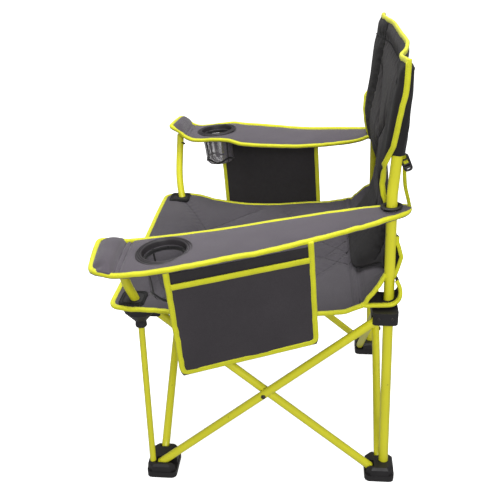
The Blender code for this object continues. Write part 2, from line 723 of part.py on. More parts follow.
def strap(side, look):
    """The webbing that pulls the armrest's rear end up to the buckle."""
    sign = side_x(side)
    half = 0.011
    points = [(0.2965, 0.683), (0.2960, 0.700), (0.2900, 0.722), (0.2870, 0.7375)]
    outline = [(y, z) for y, z in points] + [(y + 0.0022, z) for y, z in reversed(points)]
    xs = (UPRIGHT_X - half, UPRIGHT_X + half)
    bm = loft([[(x, y, z) for y, z in outline] for x in xs])
    return finish(f"{side}_arm_strap", mirrored(bm, sign), look)


def buckle(side, look):
    """The ladder-lock buckle on the back's edge that the arm strap runs through."""
    sign = side_x(side)
    frame = box(f"{side}_arm_buckle", sorted((sign * 0.253, sign * 0.284)), (0.2815, 0.2865),
                (0.739, 0.778), look)
    for number, (low, high) in enumerate(((0.7435, 0.7510), (0.7570, 0.7660))):
        cut(frame, box(f"cut_{side}_buckle_{number}", sorted((sign * 0.2565, sign * 0.2805)),
                       (0.27, 0.30), (low, high), hidden=True))
    return frame


# ---- Bodies -----------------------------------------------------------------
def body_table():
    """Every body: its parent body, a point on its joint's axis, and its pieces."""
    hinge_low, hinge_high = PIVOT_LOW, PIVOT_HIGH
    middle_z = (PIVOT_LOW + PIVOT_HIGH) / 2
    middle_y = (SIDE_FRONT_Y + SIDE_REAR_Y) / 2
    bodies = {}

    def side_bodies(side, leg):
        sign = side_x(side)
        outer, inner = sign * SIDE_OUTER_X, sign * SIDE_INNER_X
        bodies[f"{side}_inner_bar"] = (leg, (inner, SIDE_REAR_Y, hinge_low), (
            f"{side}_side_inner_tube", f"{side}_side_rivet"))
        bodies[f"{side}_outer_bar"] = (f"{side}_inner_bar", (outer, middle_y, middle_z), (
            f"{side}_side_outer_tube",))
        bodies[f"front_{side}_leg"] = (f"{side}_outer_bar", (outer, SIDE_FRONT_Y, hinge_low), (
            f"front_{side}_foot", f"front_{side}_leg_tube"))
        bodies[f"front_{side}_post"] = (f"{side}_inner_bar", (inner, SIDE_FRONT_Y, hinge_high), (
            f"front_{side}_hub", f"front_{side}_slide_rod", f"front_{side}_arm_post",
            f"front_{side}_post_cap", f"seat_front_{side}_grommet", f"{side}_armrest",
            f"{side}_pocket_backing", f"{side}_pocket_front"))
        bodies[f"{side}_cup_holder"] = (f"front_{side}_post", (sign * CUP.x, *CUP_AXIS), (
            f"{side}_cup_ring", f"{side}_cup_bag"))
        bodies[f"seat_{side}"] = (f"front_{side}_post", (sign * SEAT_HINGE[0], 0.0, SEAT_HINGE[1]), (
            f"seat_{side}_half",))
        bodies[f"{side}_arm_eyelet"] = (leg, (sign * ARM_HOLE[0], ARM_HOLE[1], arm_z(ARM_HOLE[1])), (
            f"{side}_armrest_eyelet",))

    left_y, right_y = REAR_LEFT_Y, REAR_RIGHT_Y
    bodies["rear_left_leg"] = (None, (UPRIGHT_X, UPRIGHT_FOOT_Y, 0.0), (
        "rear_left_foot", "rear_left_upright", "rear_left_upright_cap", "left_pole_sleeve",
        "left_arm_strap", "left_arm_buckle", "backrest"))
    side_bodies("left", "rear_left_leg")
    bodies["rear_left_slide"] = ("left_outer_bar", (SIDE_OUTER_X, SIDE_REAR_Y, hinge_high), (
        "rear_left_slider", "seat_rear_left_grommet"))
    bodies["rear_left_bar"] = ("rear_left_leg", (CROSS_X, left_y, hinge_low), (
        "rear_left_cross_tube", "rear_rivet"))
    bodies["rear_right_bar"] = ("rear_left_bar", (0.0, right_y, middle_z), ("rear_right_cross_tube",))
    bodies["rear_right_leg"] = ("rear_right_bar", (-CROSS_X, right_y, hinge_low), (
        "rear_right_foot", "rear_right_upright", "rear_right_upright_cap", "right_pole_sleeve",
        "right_arm_strap", "right_arm_buckle"))
    bodies["rear_right_slide"] = ("rear_left_bar", (-CROSS_X, left_y, hinge_high), (
        "rear_right_slider", "seat_rear_right_grommet"))
    side_bodies("right", "rear_right_leg")
    bodies["front_left_bar"] = ("front_left_leg", (CROSS_X, FRONT_LEFT_Y, hinge_low), (
        "front_left_cross_tube", "front_rivet"))
    bodies["front_right_bar"] = ("front_left_bar", (0.0, FRONT_RIGHT_Y, middle_z), (
        "front_right_cross_tube",))
    return bodies


def hang_on_joints():
    """Puts every piece under an empty on its body's joint axis, and the chair on its frame."""
    frame = bpy.data.objects.new("chair_frame", None)
    bpy.context.collection.objects.link(frame)
    frame.location = (0.0, FRAME_Y, 0.0)
    bodies = body_table()
    for name in bodies:
        bpy.context.collection.objects.link(bpy.data.objects.new(f"joint_{name}", None))
    placed = set()
    for name, (parent, point, pieces) in bodies.items():
        empty = bpy.data.objects[f"joint_{name}"]
        empty.parent = bpy.data.objects[f"joint_{parent}"] if parent else frame
        base = Vector(bodies[parent][1]) if parent else Vector()
        empty.location = Vector(point) - base
        for piece in pieces:
            obj = bpy.data.objects[piece]
            obj.parent = empty
            obj.location = -Vector(point)
            placed.add(piece)
    for obj in bpy.data.objects:
        if obj.type != "EMPTY" and obj.name not in placed:
            obj.parent = frame


def main():
    clear_scene()
    coat = material("lime_powder_coat", (0.62, 0.64, 0.03), 0.35)
    inner_coat = material("slide_rod_steel", (0.45, 0.46, 0.44), 0.35, 0.9)
    plastic = material("black_plastic", (0.018, 0.018, 0.018), 0.45)
    steel = material("rivet_steel", (0.05, 0.05, 0.05), 0.4, 0.8)
    cloth = material("charcoal_cloth", (0.085, 0.080, 0.086), 0.85)
    mesh = material("black_mesh", (0.03, 0.03, 0.03), 0.8)
    webbing = material("black_webbing", (0.02, 0.02, 0.02), 0.75)

    for side in ("left", "right"):
        sign = side_x(side)
        front_foot(side, plastic)
        rear_foot(side, plastic)
        front_leg(side, coat)
        slide_rod(side, inner_coat)
        front_hub(side, plastic)
        arm_post(side, coat)
        post_cap(side, plastic)
        upright(side, coat)
        upright_cap(side, plastic)
        rear_slider(side, plastic)
        outer, inner = sign * SIDE_OUTER_X, sign * SIDE_INNER_X
        scissor_tube(f"{side}_side_outer_tube", (outer, SIDE_FRONT_Y, PIVOT_LOW),
                     (outer, SIDE_REAR_Y, PIVOT_HIGH), (1, 0, 0), coat)
        scissor_tube(f"{side}_side_inner_tube", (inner, SIDE_REAR_Y, PIVOT_LOW),
                     (inner, SIDE_FRONT_Y, PIVOT_HIGH), (1, 0, 0), coat)
        front_y = FRONT_LEFT_Y if side == "left" else FRONT_RIGHT_Y
        rear_y = REAR_LEFT_Y if side == "left" else REAR_RIGHT_Y
        for end, y in (("front", front_y), ("rear", rear_y)):
            scissor_tube(f"{end}_{side}_cross_tube", (sign * CROSS_X, y, PIVOT_LOW),
                         (-sign * CROSS_X, y, PIVOT_HIGH), (0, 1, 0), coat)
        middle_z = (PIVOT_LOW + PIVOT_HIGH) / 2
        side_middle = (sign * (SIDE_OUTER_X + SIDE_INNER_X) / 2, (SIDE_FRONT_Y + SIDE_REAR_Y) / 2, middle_z)
        rivet(f"{side}_side_rivet", side_middle, (1, 0, 0), steel)
        seat_half(side, cloth)
        for end in ("front", "rear"):
            seat_grommet(end, side, plastic)
        armrest(side, cloth)
        arm_eyelet(side, plastic)
        cup_ring(side, plastic)
        cup_bag(side, mesh)
        side_pocket(side, cloth)
        pole_sleeve(side, cloth)
        strap(side, webbing)
        buckle(side, plastic)

    rivet("front_rivet", (0.0, (FRONT_LEFT_Y + FRONT_RIGHT_Y) / 2, (PIVOT_LOW + PIVOT_HIGH) / 2), (0, 1, 0), steel)
    rivet("rear_rivet", (0.0, (REAR_LEFT_Y + REAR_RIGHT_Y) / 2, (PIVOT_LOW + PIVOT_HIGH) / 2), (0, 1, 0), steel)
    backrest(cloth)
    hang_on_joints()


main()
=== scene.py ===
from math import cos, pi, radians, sin

import bpy
import numpy as np
from mathutils import Matrix, Vector


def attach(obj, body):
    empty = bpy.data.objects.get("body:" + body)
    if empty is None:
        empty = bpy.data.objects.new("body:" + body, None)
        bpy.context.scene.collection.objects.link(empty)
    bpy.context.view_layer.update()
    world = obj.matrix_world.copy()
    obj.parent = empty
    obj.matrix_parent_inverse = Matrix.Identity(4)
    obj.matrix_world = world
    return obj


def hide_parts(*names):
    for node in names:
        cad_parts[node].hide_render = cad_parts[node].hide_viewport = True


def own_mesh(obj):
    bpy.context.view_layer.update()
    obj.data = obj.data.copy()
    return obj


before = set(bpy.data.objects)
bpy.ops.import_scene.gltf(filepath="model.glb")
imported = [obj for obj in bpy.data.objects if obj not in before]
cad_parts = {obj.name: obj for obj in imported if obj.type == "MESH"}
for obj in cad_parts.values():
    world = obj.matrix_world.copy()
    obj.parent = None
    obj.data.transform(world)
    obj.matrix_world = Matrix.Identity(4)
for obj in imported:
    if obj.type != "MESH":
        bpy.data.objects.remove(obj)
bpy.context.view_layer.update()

# ---- Sizes, in metres -------------------------------------------------------
# Pieces in pairs are drawn as the left one, with x outward, y to the rear and z up.
SIDES = {"left": 1, "right": -1}
FRAME_Y = 0.0055           # from the drawing's origin to the frame's, in depth
TUBE_R = 0.0095
LEG_R = 0.007
POST_R = 0.0095
UPRIGHT_R = 0.011
UPRIGHT_X = 0.267
UPRIGHT_LOW_Z, UPRIGHT_BEND_Z = 0.0123, 0.7
UPRIGHT_TOP = np.array((0.286, 0.2735, 0.95))
POST_HOLE = np.array((0.301, -0.268))      # where the arm post passes the seat's front corner
SEAT_HOLE = np.array((UPRIGHT_X, 0.2675))  # where the upright passes the seat's rear corner
ARM_HOLE = np.array((UPRIGHT_X, 0.2632))   # where the upright passes the armrest
CUP = np.array((0.405, -0.174, 0.627))
CUP_HOLE_R = 0.0448
ARM_SLOPE = 0.0905
ARM_TILT = np.array((0.0, -ARM_SLOPE, 1.0)) / np.hypot(1.0, ARM_SLOPE)
SEAT_Z = 0.4745
RIDGE_Y = 0.2            # the seam across the seat's rear
UP = (0.0, 0.0, 1.0)
STRIP_X = 0.185            # the seam between the back's middle and its side panels
POCKET_TOP = np.array(((0.4735, -0.165, 0.6145), (0.378, 0.108, 0.635)))
POCKET_BOTTOM = np.array(((0.455, -0.147, 0.384), (0.376, 0.122, 0.4205)))
POCKET_SHIFT = {           # of the right pocket, which hangs lower than the left one
    "left": np.zeros((2, 2, 3)),
    "right": np.array((((0.0, -0.01, 0.0), (0.0, 0.004, -0.006)),
                       ((0.0, -0.01, -0.018), (0.0, 0.004, -0.02)))),
}
POCKET_HEM = 0.1         # share of the pocket's depth above its front ply
POCKET_WIDE, POCKET_DEEP = 0.29, 0.225

# How the fabric would flatten as the frame folds: direction, point that stays, share that is left at the end.
# Nothing here applies them; a piece that has one only gets a mesh of its own.
ARM_FOLD = ((0.0, 0.9219, 0.3875), (0.0, -0.252 + FRAME_Y, 0.618), 0.069)
SEAT_FOLD = ((0.0, 1.0, 0.0), (0.0, -0.268 + FRAME_Y, 0.467), 0.206)
BACK_FOLD = ((1.0, 0.0, 0.0), (0.267, 0.26, 0.7), 0.206)


# ---- Materials --------------------------------------------------------------
def rgb(red, green, blue):
    """A colour given as it looks on a screen, 0-255, as the linear one that nodes take."""
    values = [c / 255 for c in (red, green, blue)]
    return [c / 12.92 if c <= 0.04045 else ((c + 0.055) / 1.055) ** 2.4 for c in values] + [1.0]


class Look:
    """A material and a short way to add nodes to it."""

    def __init__(self, name, color, roughness, metallic=0.0):
        self.material = bpy.data.materials.new(name)
        self.material.use_nodes = True
        self.tree = self.material.node_tree
        self.shader = self.tree.nodes["Principled BSDF"]
        self.shader.inputs["Base Color"].default_value = color
        self.shader.inputs["Roughness"].default_value = roughness
        self.shader.inputs["Metallic"].default_value = metallic

    def add(self, kind, sockets=None, **settings):
        node = self.tree.nodes.new(kind)
        for key, value in settings.items():
            setattr(node, key, value)
        for key, value in (sockets or {}).items():
            if isinstance(value, bpy.types.NodeSocket):
                self.tree.links.new(value, node.inputs[key])
            else:
                node.inputs[key].default_value = value
        return node

    def math(self, operation, first, second=0.0):
        return self.add("ShaderNodeMath", {0: first, 1: second}, operation=operation).outputs[0]

    def plus(self, first, second):
        return self.math("ADD", first, second)

    def times(self, first, second):
        return self.math("MULTIPLY", first, second)

    def wave(self, along, pitch):
        """A wave between -1 and 1 that repeats after each pitch."""
        return self.math("SINE", self.times(along, 2 * pi / pitch))

    def flat(self):
        """The piece's own flat position in metres: along, across."""
        node = self.add("ShaderNodeUVMap")
        parts = self.add("ShaderNodeSeparateXYZ", {0: node.outputs[0]})
        return parts.outputs[0], parts.outputs[1]

    def place(self):
        return self.add("ShaderNodeTexCoord").outputs["Object"]

    def noise(self, where, scale, detail=2.0, roughness=0.5):
        sockets = {"Vector": where, "Scale": scale, "Detail": detail, "Roughness": roughness}
        return self.add("ShaderNodeTexNoise", sockets).outputs["Fac"]

    def spread(self, value, low, high, to_low, to_high):
        sockets = {0: value, 1: low, 2: high, 3: to_low, 4: to_high}
        return self.add("ShaderNodeMapRange", sockets, clamp=True).outputs[0]

    def varied(self, noise, low, high):
        """A noise, which mostly lies between 0.3 and 0.7, spread from low to high."""
        return self.spread(noise, 0.3, 0.7, low, high)

    def tint(self, value, color):
        """The colour times a value that runs round 1."""
        node = self.add("ShaderNodeVectorMath", {0: color, "Scale": value}, operation="SCALE")
        return node.outputs[0]

    def mix(self, share, first, second):
        node = self.add("ShaderNodeMix", data_type="RGBA")
        for socket, value in ((0, share), (6, first), (7, second)):
            if isinstance(value, bpy.types.NodeSocket):
                self.tree.links.new(value, node.inputs[socket])
            else:
                node.inputs[socket].default_value = value
        return node.outputs[2]

    def set(self, name, value):
        self.tree.links.new(value, self.shader.inputs[name])

    def bump(self, height, distance, strength=1.0, under=None):
        sockets = {"Height": height, "Distance": distance, "Strength": strength}
        if under is not None:
            sockets["Normal"] = under
        return self.add("ShaderNodeBump", sockets).outputs[0]


def cloth_look(name, color, pitch=0.0011, sheen=0.25, creases=0.0012):
    """Coated polyester cloth: a plain weave, thread by thread shade, soft creases."""
    look = Look(name, color, 0.78)
    along, across = look.flat()
    warp = look.wave(along, 2 * pitch)
    weft = look.wave(across, 2 * pitch)
    weave = look.times(warp, weft)
    place = look.place()
    cloudy = look.noise(place, 7.0, 3.0, 0.6)
    fine = look.noise(place, 420.0, 2.0)
    slub = look.noise(place, 90.0, 2.0)
    shade = look.plus(look.varied(cloudy, 0.9, 1.1), look.times(weave, 0.045))
    shade = look.plus(shade, look.varied(fine, -0.07, 0.07))
    shade = look.plus(shade, look.varied(slub, -0.04, 0.04))
    look.set("Base Color", look.tint(shade, color[:3]))
    look.set("Roughness", look.varied(slub, 0.7, 0.86))
    threads = look.bump(weave, 0.00022, 0.7)
    wrinkle = look.noise(place, 26.0, 3.0, 0.55)
    look.set("Normal", look.bump(wrinkle, creases, 0.5, threads))
    look.shader.inputs["Sheen Weight"].default_value = sheen
    look.shader.inputs["Sheen Roughness"].default_value = 0.45
    look.shader.inputs["Specular IOR Level"].default_value = 0.35
    return look.material


def tape_look(name, color, stitch, rib=0.0011, line=0.12):
    """Woven tape. Flat position: metres along it, and 0-1 round it from one inner edge to the other."""
    look = Look(name, color, 0.62)
    along, around = look.flat()
    ribs = look.wave(along, rib)
    place = look.place()
    cloudy = look.noise(place, 30.0, 3.0, 0.6)
    fine = look.noise(place, 600.0, 2.0)
    shade = look.plus(look.varied(cloudy, 0.93, 1.07), look.times(ribs, 0.04))
    shade = look.plus(shade, look.varied(fine, -0.05, 0.05))
    plain = look.tint(shade, color[:3])
    mirrored = look.math("PINGPONG", around, 0.5)
    near = look.math("ABSOLUTE", look.math("SUBTRACT", mirrored, line))
    on_line = look.math("LESS_THAN", near, 0.02)
    dash = look.math("LESS_THAN", look.math("FRACT", look.math("DIVIDE", along, 0.0042)), 0.66)
    thread = look.times(on_line, dash)
    groove = look.math("LESS_THAN", near, 0.045)
    look.set("Base Color", look.mix(look.times(thread, 0.55), plain, stitch))
    height = look.plus(look.times(ribs, 0.25), look.times(groove, -1.0))
    height = look.plus(height, look.times(thread, 0.9))
    look.set("Normal", look.bump(height, 0.0003, 0.6))
    look.shader.inputs["Sheen Weight"].default_value = 0.15
    return look.material


def webbing_look(name, color, rib=0.0016):
    """Flat woven webbing with a herringbone of ribs."""
    look = Look(name, color, 0.68)
    along, across = look.flat()
    skew = look.math("PINGPONG", across, 0.004)
    ribs = look.wave(look.plus(along, skew), rib)
    rows = look.wave(across, 0.0013)
    place = look.place()
    fine = look.noise(place, 500.0, 2.0)
    weave = look.plus(look.times(ribs, 0.6), look.times(rows, 0.4))
    shade = look.plus(look.varied(fine, 0.85, 1.15), look.times(weave, 0.2))
    look.set("Base Color", look.tint(shade, color[:3]))
    look.set("Normal", look.bump(weave, 0.0003, 0.8))
    return look.material


def net_look(name, color, pitch=0.0036, open_share=0.34):
    """Open net: round holes in staggered rows."""
    look = Look(name, color, 0.7)
    along, across = look.flat()
    first = look.wave(look.plus(along, across), 2 * pitch)
    second = look.wave(look.math("SUBTRACT", along, across), 2 * pitch)
    cell = look.times(first, second)
    solid = look.math("LESS_THAN", look.math("ABSOLUTE", cell), open_share)
    fine = look.noise(look.place(), 700.0, 2.0)
    look.set("Base Color", look.tint(look.varied(fine, 0.75, 1.3), color[:3]))
    look.set("Alpha", solid)
    look.set("Normal", look.bump(look.math("ABSOLUTE", cell), 0.0004, 0.7))
    return look.material


def coat_look(name, color, scuff):
    """Powder coat on steel: fine orange peel, a few dull rubbed spots."""
    look = Look(name, color, 0.36)
    place = look.place()
    peel = look.noise(place, 700.0, 2.0)
    cloudy = look.noise(place, 9.0, 3.0, 0.6)
    rubbed = look.noise(place, 55.0, 4.0, 0.65)
    mark = look.spread(rubbed, 0.66, 0.72, 0.0, 0.5)
    plain = look.tint(look.varied(cloudy, 0.95, 1.05), color[:3])
    look.set("Base Color", look.mix(mark, plain, scuff))
    look.set("Roughness", look.plus(look.varied(peel, 0.3, 0.42), look.times(mark, 0.3)))
    look.set("Normal", look.bump(peel, 0.00016, 0.35))
    look.shader.inputs["Coat Weight"].default_value = 0.2
    look.shader.inputs["Coat Roughness"].default_value = 0.25
    return look.material


def plastic_look(name, color):
    """Moulded nylon: fine grain, slightly greyed wear."""
    look = Look(name, color, 0.5)
    place = look.place()
    grain = look.noise(place, 900.0, 2.0)
    cloudy = look.noise(place, 24.0, 3.0, 0.6)
    look.set("Base Color", look.tint(look.varied(cloudy, 0.82, 1.25), color[:3]))
    look.set("Roughness", look.plus(look.varied(cloudy, 0.4, 0.56), look.varied(grain, -0.04, 0.04)))
    look.set("Normal", look.bump(grain, 0.00022, 0.45))
    return look.material


def steel_look(name, color, roughness):
    """Bright or blackened steel with fine scratches."""
    look = Look(name, color, roughness, 1.0)
    place = look.place()
    scratch = look.noise(place, 320.0, 4.0, 0.7)
    look.set("Roughness", look.varied(scratch, roughness - 0.07, roughness + 0.12))
    look.set("Base Color", look.tint(look.varied(scratch, 0.88, 1.1), color[:3]))
    look.set("Normal", look.bump(scratch, 0.00008, 0.4))
    return look.material


GREY = cloth_look("cloth_grey", rgb(76, 72, 78), sheen=0.16)
ARM_GREY = cloth_look("cloth_arm_grey", rgb(89, 83, 91), creases=0.0006)
# The back's grey is the seat's cloth made darker: painted shade, for a back that faces away from the light.
BACK_SHADED_GREY = cloth_look("cloth_back_grey_painted_shade", rgb(56, 53, 54), sheen=0.06)
DARK = cloth_look("cloth_dark", rgb(34, 32, 34), sheen=0.1)
# The back's second, darker cloth: for the side panels, and painted shade on the back's lower part.
BACK_SIDES_AND_SHADE = cloth_look("cloth_back_sides_and_painted_shade", rgb(34, 32, 33), sheen=0.06)
POCKET_CLOTH = cloth_look("cloth_pocket", rgb(62, 58, 62), pitch=0.0014, sheen=0.1, creases=0.0008)
LIME_TAPE = tape_look("tape_lime", rgb(226, 226, 30), rgb(190, 196, 40))
BLACK_TAPE = tape_look("tape_black", rgb(30, 29, 31), rgb(70, 70, 72))
WEBBING = webbing_look("webbing_black", rgb(32, 31, 33))
THREAD = webbing_look("thread_black", rgb(14, 14, 15), rib=0.0009)
LIME_THREAD = webbing_look("webbing_lime", rgb(214, 216, 34), rib=0.0014)
NET = net_look("net_black", rgb(112, 108, 114), open_share=0.6)
COAT = coat_look("powder_coat_lime", rgb(242, 238, 50), rgb(150, 152, 40))
# The backing is a darker copy of the pocket cloth: painted shade for its inner face, which lies in shadow
# inside the pocket.
POCKET_SHADED_BACKING = cloth_look("cloth_pocket_backing_painted_shade", rgb(50, 47, 50), sheen=0.08)
PLASTIC = plastic_look("plastic_black", rgb(33, 31, 33))
RIM_PLASTIC = plastic_look("plastic_rim", rgb(54, 51, 54))
RIVET = steel_look("rivet_steel_dark", rgb(90, 88, 84), 0.42)
ROD = steel_look("rod_steel_bright", rgb(176, 176, 172), 0.3)


# ---- Mesh helpers -----------------------------------------------------------
class Shape:
    """Points and faces, with the flat position in metres of every face corner."""

    def __init__(self):
        self.points, self.faces, self.flats, self.kinds = [], [], [], []
        self.count = 0

    def face(self, corners, flat, kind=0):
        self.faces.append(tuple(int(c) for c in corners))
        self.flats.extend((float(a), float(b)) for a, b in flat)
        self.kinds.append(kind)

    def add(self, points):
        points = np.asarray(points, float).reshape(-1, 3)
        self.points.append(points)
        start = self.count
        self.count += len(points)
        return start

    def grid(self, points, flat, wrap=False, keep=None, turned=False, kind=0):
        """Rows and columns of points. With wrap the last column joins the first; flat has one more column."""
        rows, columns = points.shape[:2]
        start = self.add(points)
        index = start + np.arange(rows * columns).reshape(rows, columns)
        if wrap:
            index = np.concatenate([index, index[:, :1]], axis=1)
        for i in range(rows - 1):
            for j in range(index.shape[1] - 1):
                if keep is not None and not keep[i, j]:
                    continue
                spots = [(i, j), (i, j + 1), (i + 1, j + 1), (i + 1, j)]
                if turned:
                    spots.reverse()
                cell = kind if np.isscalar(kind) else int(kind[i, j])
                self.face([index[s] for s in spots], [flat[s] for s in spots], cell)
        return index

    def panel(self, front, rear, flat, keep=None, kind=0):
        """A sheet with two faces and closed rims; keep says which cells it has."""
        rows, columns = front.shape[:2]
        if keep is None:
            keep = np.ones((rows - 1, columns - 1), bool)
        a = self.grid(front, flat, keep=keep, kind=kind)
        b = self.grid(rear, flat, keep=keep, turned=True, kind=kind)
        padded = np.zeros((rows + 1, columns + 1), bool)
        padded[1:-1, 1:-1] = keep
        for i in range(rows - 1):
            for j in range(columns - 1):
                if not keep[i, j]:
                    continue
                sides = (
                    (padded[i, j + 1], (i, j), (i, j + 1)),
                    (padded[i + 1, j + 2], (i, j + 1), (i + 1, j + 1)),
                    (padded[i + 2, j + 1], (i + 1, j + 1), (i + 1, j)),
                    (padded[i + 1, j], (i + 1, j), (i, j)),
                )
                for joined, first, second in sides:
                    if joined:
                        continue
                    corners = (a[second], a[first], b[first], b[second])
                    spots = (flat[second], flat[first], flat[first], flat[second])
                    cell = kind if np.isscalar(kind) else int(kind[i, j])
                    self.face(corners, spots, cell)

    def build(self, name, looks, sign, angle):
        points = np.concatenate(self.points) * (sign, 1, 1) + (0.0, FRAME_Y, 0.0)
        mesh = bpy.data.meshes.new(name)
        mesh.from_pydata(points.tolist(), [], self.faces)
        layer = mesh.uv_layers.new(name="flat")
        layer.data.foreach_set("uv", np.array(self.flats, np.float32).ravel())
        mesh.polygons.foreach_set("material_index", self.kinds)
        mesh.polygons.foreach_set("use_smooth", [True] * len(mesh.polygons))
        if sign < 0:
            mesh.flip_normals()
        mesh.validate()
        mesh.update()
        if angle is not None:
            mesh.set_sharp_from_angle(angle=radians(angle))
        for look in looks if isinstance(looks, (list, tuple)) else [looks]:
            mesh.materials.append(look)
        obj = bpy.data.objects.new(name, mesh)
        bpy.context.scene.collection.objects.link(obj)
        return obj


def pairs(first, second):
    """Two arrays side by side in a new last axis."""
    return np.stack(np.broadcast_arrays(first, second), axis=-1)


def unit(vectors):
    vectors = np.asarray(vectors, float)
    return vectors / np.maximum(np.linalg.norm(vectors, axis=-1, keepdims=True), 1e-12)


def lengths(path):
    steps = np.linalg.norm(np.diff(path, axis=0), axis=1)
    return np.concatenate([[0.0], np.cumsum(steps)])


def along_line(path, at):
    """The points of a line at some distances from its start."""
    run = lengths(path)
    return np.stack([np.interp(at, run, column) for column in path.T], axis=1)


def resampled(path, spacing):
    """The same line with even steps."""
    path = np.asarray(path, float)
    total = lengths(path)[-1]
    return along_line(path, np.linspace(0.0, total, max(2, int(round(total / spacing)) + 1)))


def looked_up(table, at, column=1):
    """A column of a table, at some values of its first column."""
    return np.interp(at, table[:, 0], table[:, column])


def curved(knots, spacing=0.004):
    """A smooth line through the knots."""
    knots = np.asarray(knots, float)
    padded = np.concatenate([[2 * knots[0] - knots[1]], knots, [2 * knots[-1] - knots[-2]]])
    line = []
    for before, first, second, after in zip(padded, padded[1:], padded[2:], padded[3:]):
        t = np.linspace(0.0, 1.0, 24, endpoint=False)[:, None]
        line.append(0.5 * (2 * first + (second - before) * t
                           + (2 * before - 5 * first + 4 * second - after) * t**2
                           + (3 * first - before - 3 * second + after) * t**3))
    line.append(knots[-1:])
    return resampled(np.concatenate(line), spacing)


def tangents(path):
    return unit(np.gradient(path, axis=0))


def beside(axis):
    """A direction at a right angle to an axis."""
    return unit(np.cross(axis, (0.0, 1.0, 0.0) if abs(axis[1]) < 0.9 else (1.0, 0.0, 0.0)))


def tube(shape, path, radius, sides=24, dome=True, kind=0):
    """A round bar along a path, with slightly domed ends."""
    path = np.asarray(path, float)
    radii = np.full(len(path), float(radius))
    if dome:
        step = 0.35 * radius * tangents(path)
        path = np.concatenate([path[:1], path[:1] + step[:1], path[1:-1], path[-1:] - step[-1:], path[-1:]])
        radii = np.concatenate([[0.72 * radius], radii, [0.72 * radius]])
    along = tangents(path)
    normal = beside(along[0])
    rings = []
    angles = np.linspace(0, 2 * pi, sides, endpoint=False)
    for place, direction, r in zip(path, along, radii):
        normal = unit(normal - direction * (normal @ direction))
        other = np.cross(direction, normal)
        rings.append(place + r * (np.cos(angles)[:, None] * normal + np.sin(angles)[:, None] * other))
    rings = np.array(rings)
    run = lengths(path)
    flat = pairs(run[:, None], np.linspace(0, 2 * pi * radius, sides + 1)[None, :])
    index = shape.grid(rings, flat, wrap=True, kind=kind)
    shape.face(index[0][:-1][::-1], [(0.0, 0.0)] * sides, kind)
    shape.face(index[-1][:-1], [(0.0, 0.0)] * sides, kind)
    return shape


def tape(path, inward, width, thick, rim, seed):
    """Edge binding: tape folded over an edge, as a flat band with a round outer rim."""
    shape = Shape()
    along = tangents(path)
    inward = np.broadcast_to(np.asarray(inward, float), path.shape)
    inward = unit(inward - along * np.sum(inward * along, axis=1, keepdims=True))
    normal = np.cross(along, inward)
    half = thick / 2
    across = [(width * a, half * b) for a, b in ((1.0, 0.72), (0.8, 0.98), (0.55, 1.0), (0.28, 0.97))]
    across += [(half * 0.9 - rim - half * 0.9 * cos(a), half * sin(a)) for a in (1.05, 0.5, 0.0, -0.5, -1.05)]
    across += [(a, -b) for a, b in reversed(across[:4])]
    across = np.array(across)
    steps = np.linalg.norm(np.diff(across, axis=0), axis=1)
    around = np.concatenate([[0.0], np.cumsum(steps)]) / steps.sum()
    run = lengths(path)
    spots = np.arange(0.0, run[-1] + 0.03, 0.012)
    wobble = np.interp(run, spots, np.random.default_rng(seed).normal(0.0, 0.0004, len(spots)))[:, None, None]
    over, out = across[None, :, :1], across[None, :, 1:]
    points = (path[:, None, :] + over * inward[:, None, :]
              + (out * (1 + 0.12 * np.sign(out) * wobble / 0.0008)) * normal[:, None, :]
              + wobble * inward[:, None, :] * 0.5)
    flat = pairs(run[:, None], np.append(around, 1.0)[None, :])
    index = shape.grid(points, flat, wrap=True)
    count = len(across)
    shape.face(index[0][:-1][::-1], [(0.0, 0.5)] * count)
    shape.face(index[-1][:-1], [(float(run[-1]), 0.5)] * count)
    return shape


def lathe(shape, profile, centre, axis, sides, closed=True):
    """A profile of (radius, height) turned round an axis; a radius of 0 is a pole."""
    axis = unit(axis)
    first = beside(axis)
    second = np.cross(axis, first)
    profile = np.array(profile, float)
    if closed:
        profile = np.concatenate([profile, profile[:1]])
    angles = np.linspace(0, 2 * pi, sides, endpoint=False)
    ring = np.cos(angles)[:, None] * first + np.sin(angles)[:, None] * second
    points = centre + profile[:, None, :1] * ring[None] + profile[:, None, 1:] * axis
    reach = 2 * pi * profile[:, 0].max()
    flat = pairs(np.linspace(0, reach, sides + 1)[None, :], lengths(profile)[:, None])
    shape.grid(points, flat, wrap=True, turned=True)
    return shape


def hill(value, centre, width):
    """A smooth hill of height 1."""
    return np.exp(-((value - centre) / width) ** 2)


def smooth_step(value, low, high):
    """An eased rise from 0 at low to 1 at high."""
    share = np.clip((value - low) / (high - low), 0, 1)
    return share * share * (3 - 2 * share)


def far_from(points, line):
    """Each point's distance to a line of points."""
    line = np.asarray(line, float)
    best = np.full(points.shape[:-1], 1e9)
    for first, second in zip(line, line[1:]):
        step = second - first
        share = np.clip(((points - first) @ step) / max(step @ step, 1e-12), 0, 1)
        best = np.minimum(best, np.linalg.norm(points - first - share[..., None] * step, axis=-1))
    return best


def waves(x, y, seed, count=5, low=8.0, high=30.0):
    """Smooth random waves between about -1 and 1, with a wavelength of 1/high to 1/low metres."""
    random = np.random.default_rng(seed)
    total = 0.0
    for _ in range(count):
        angle, size, phase = random.uniform(0, pi), random.uniform(low, high), random.uniform(0, 2 * pi)
        total = total + np.sin(2 * pi * size * (x * cos(angle) + y * sin(angle)) + phase)
    return total / count


def quilt(points, seams, rise, reach=0.016, pinch=0.0012):
    """How high padded cloth stands: low on each seam, full a little away from it, gathered beside it."""
    height = np.full(points.shape[:-1], rise)
    for number, seam in enumerate(seams):
        away = far_from(points, seam)
        height = np.minimum(height, rise * (1 - np.exp(-((away / reach) ** 1.4))))
        direction = unit(np.asarray(seam[-1], float) - np.asarray(seam[0], float))
        along = points @ direction
        turn = 2 * pi * along
        gather = np.sin(turn / 0.021 + number * 1.7) + 0.6 * np.sin(turn / 0.0133 + number)
        height = height + pinch * gather * hill(away, 0.009, 0.009)
    return height


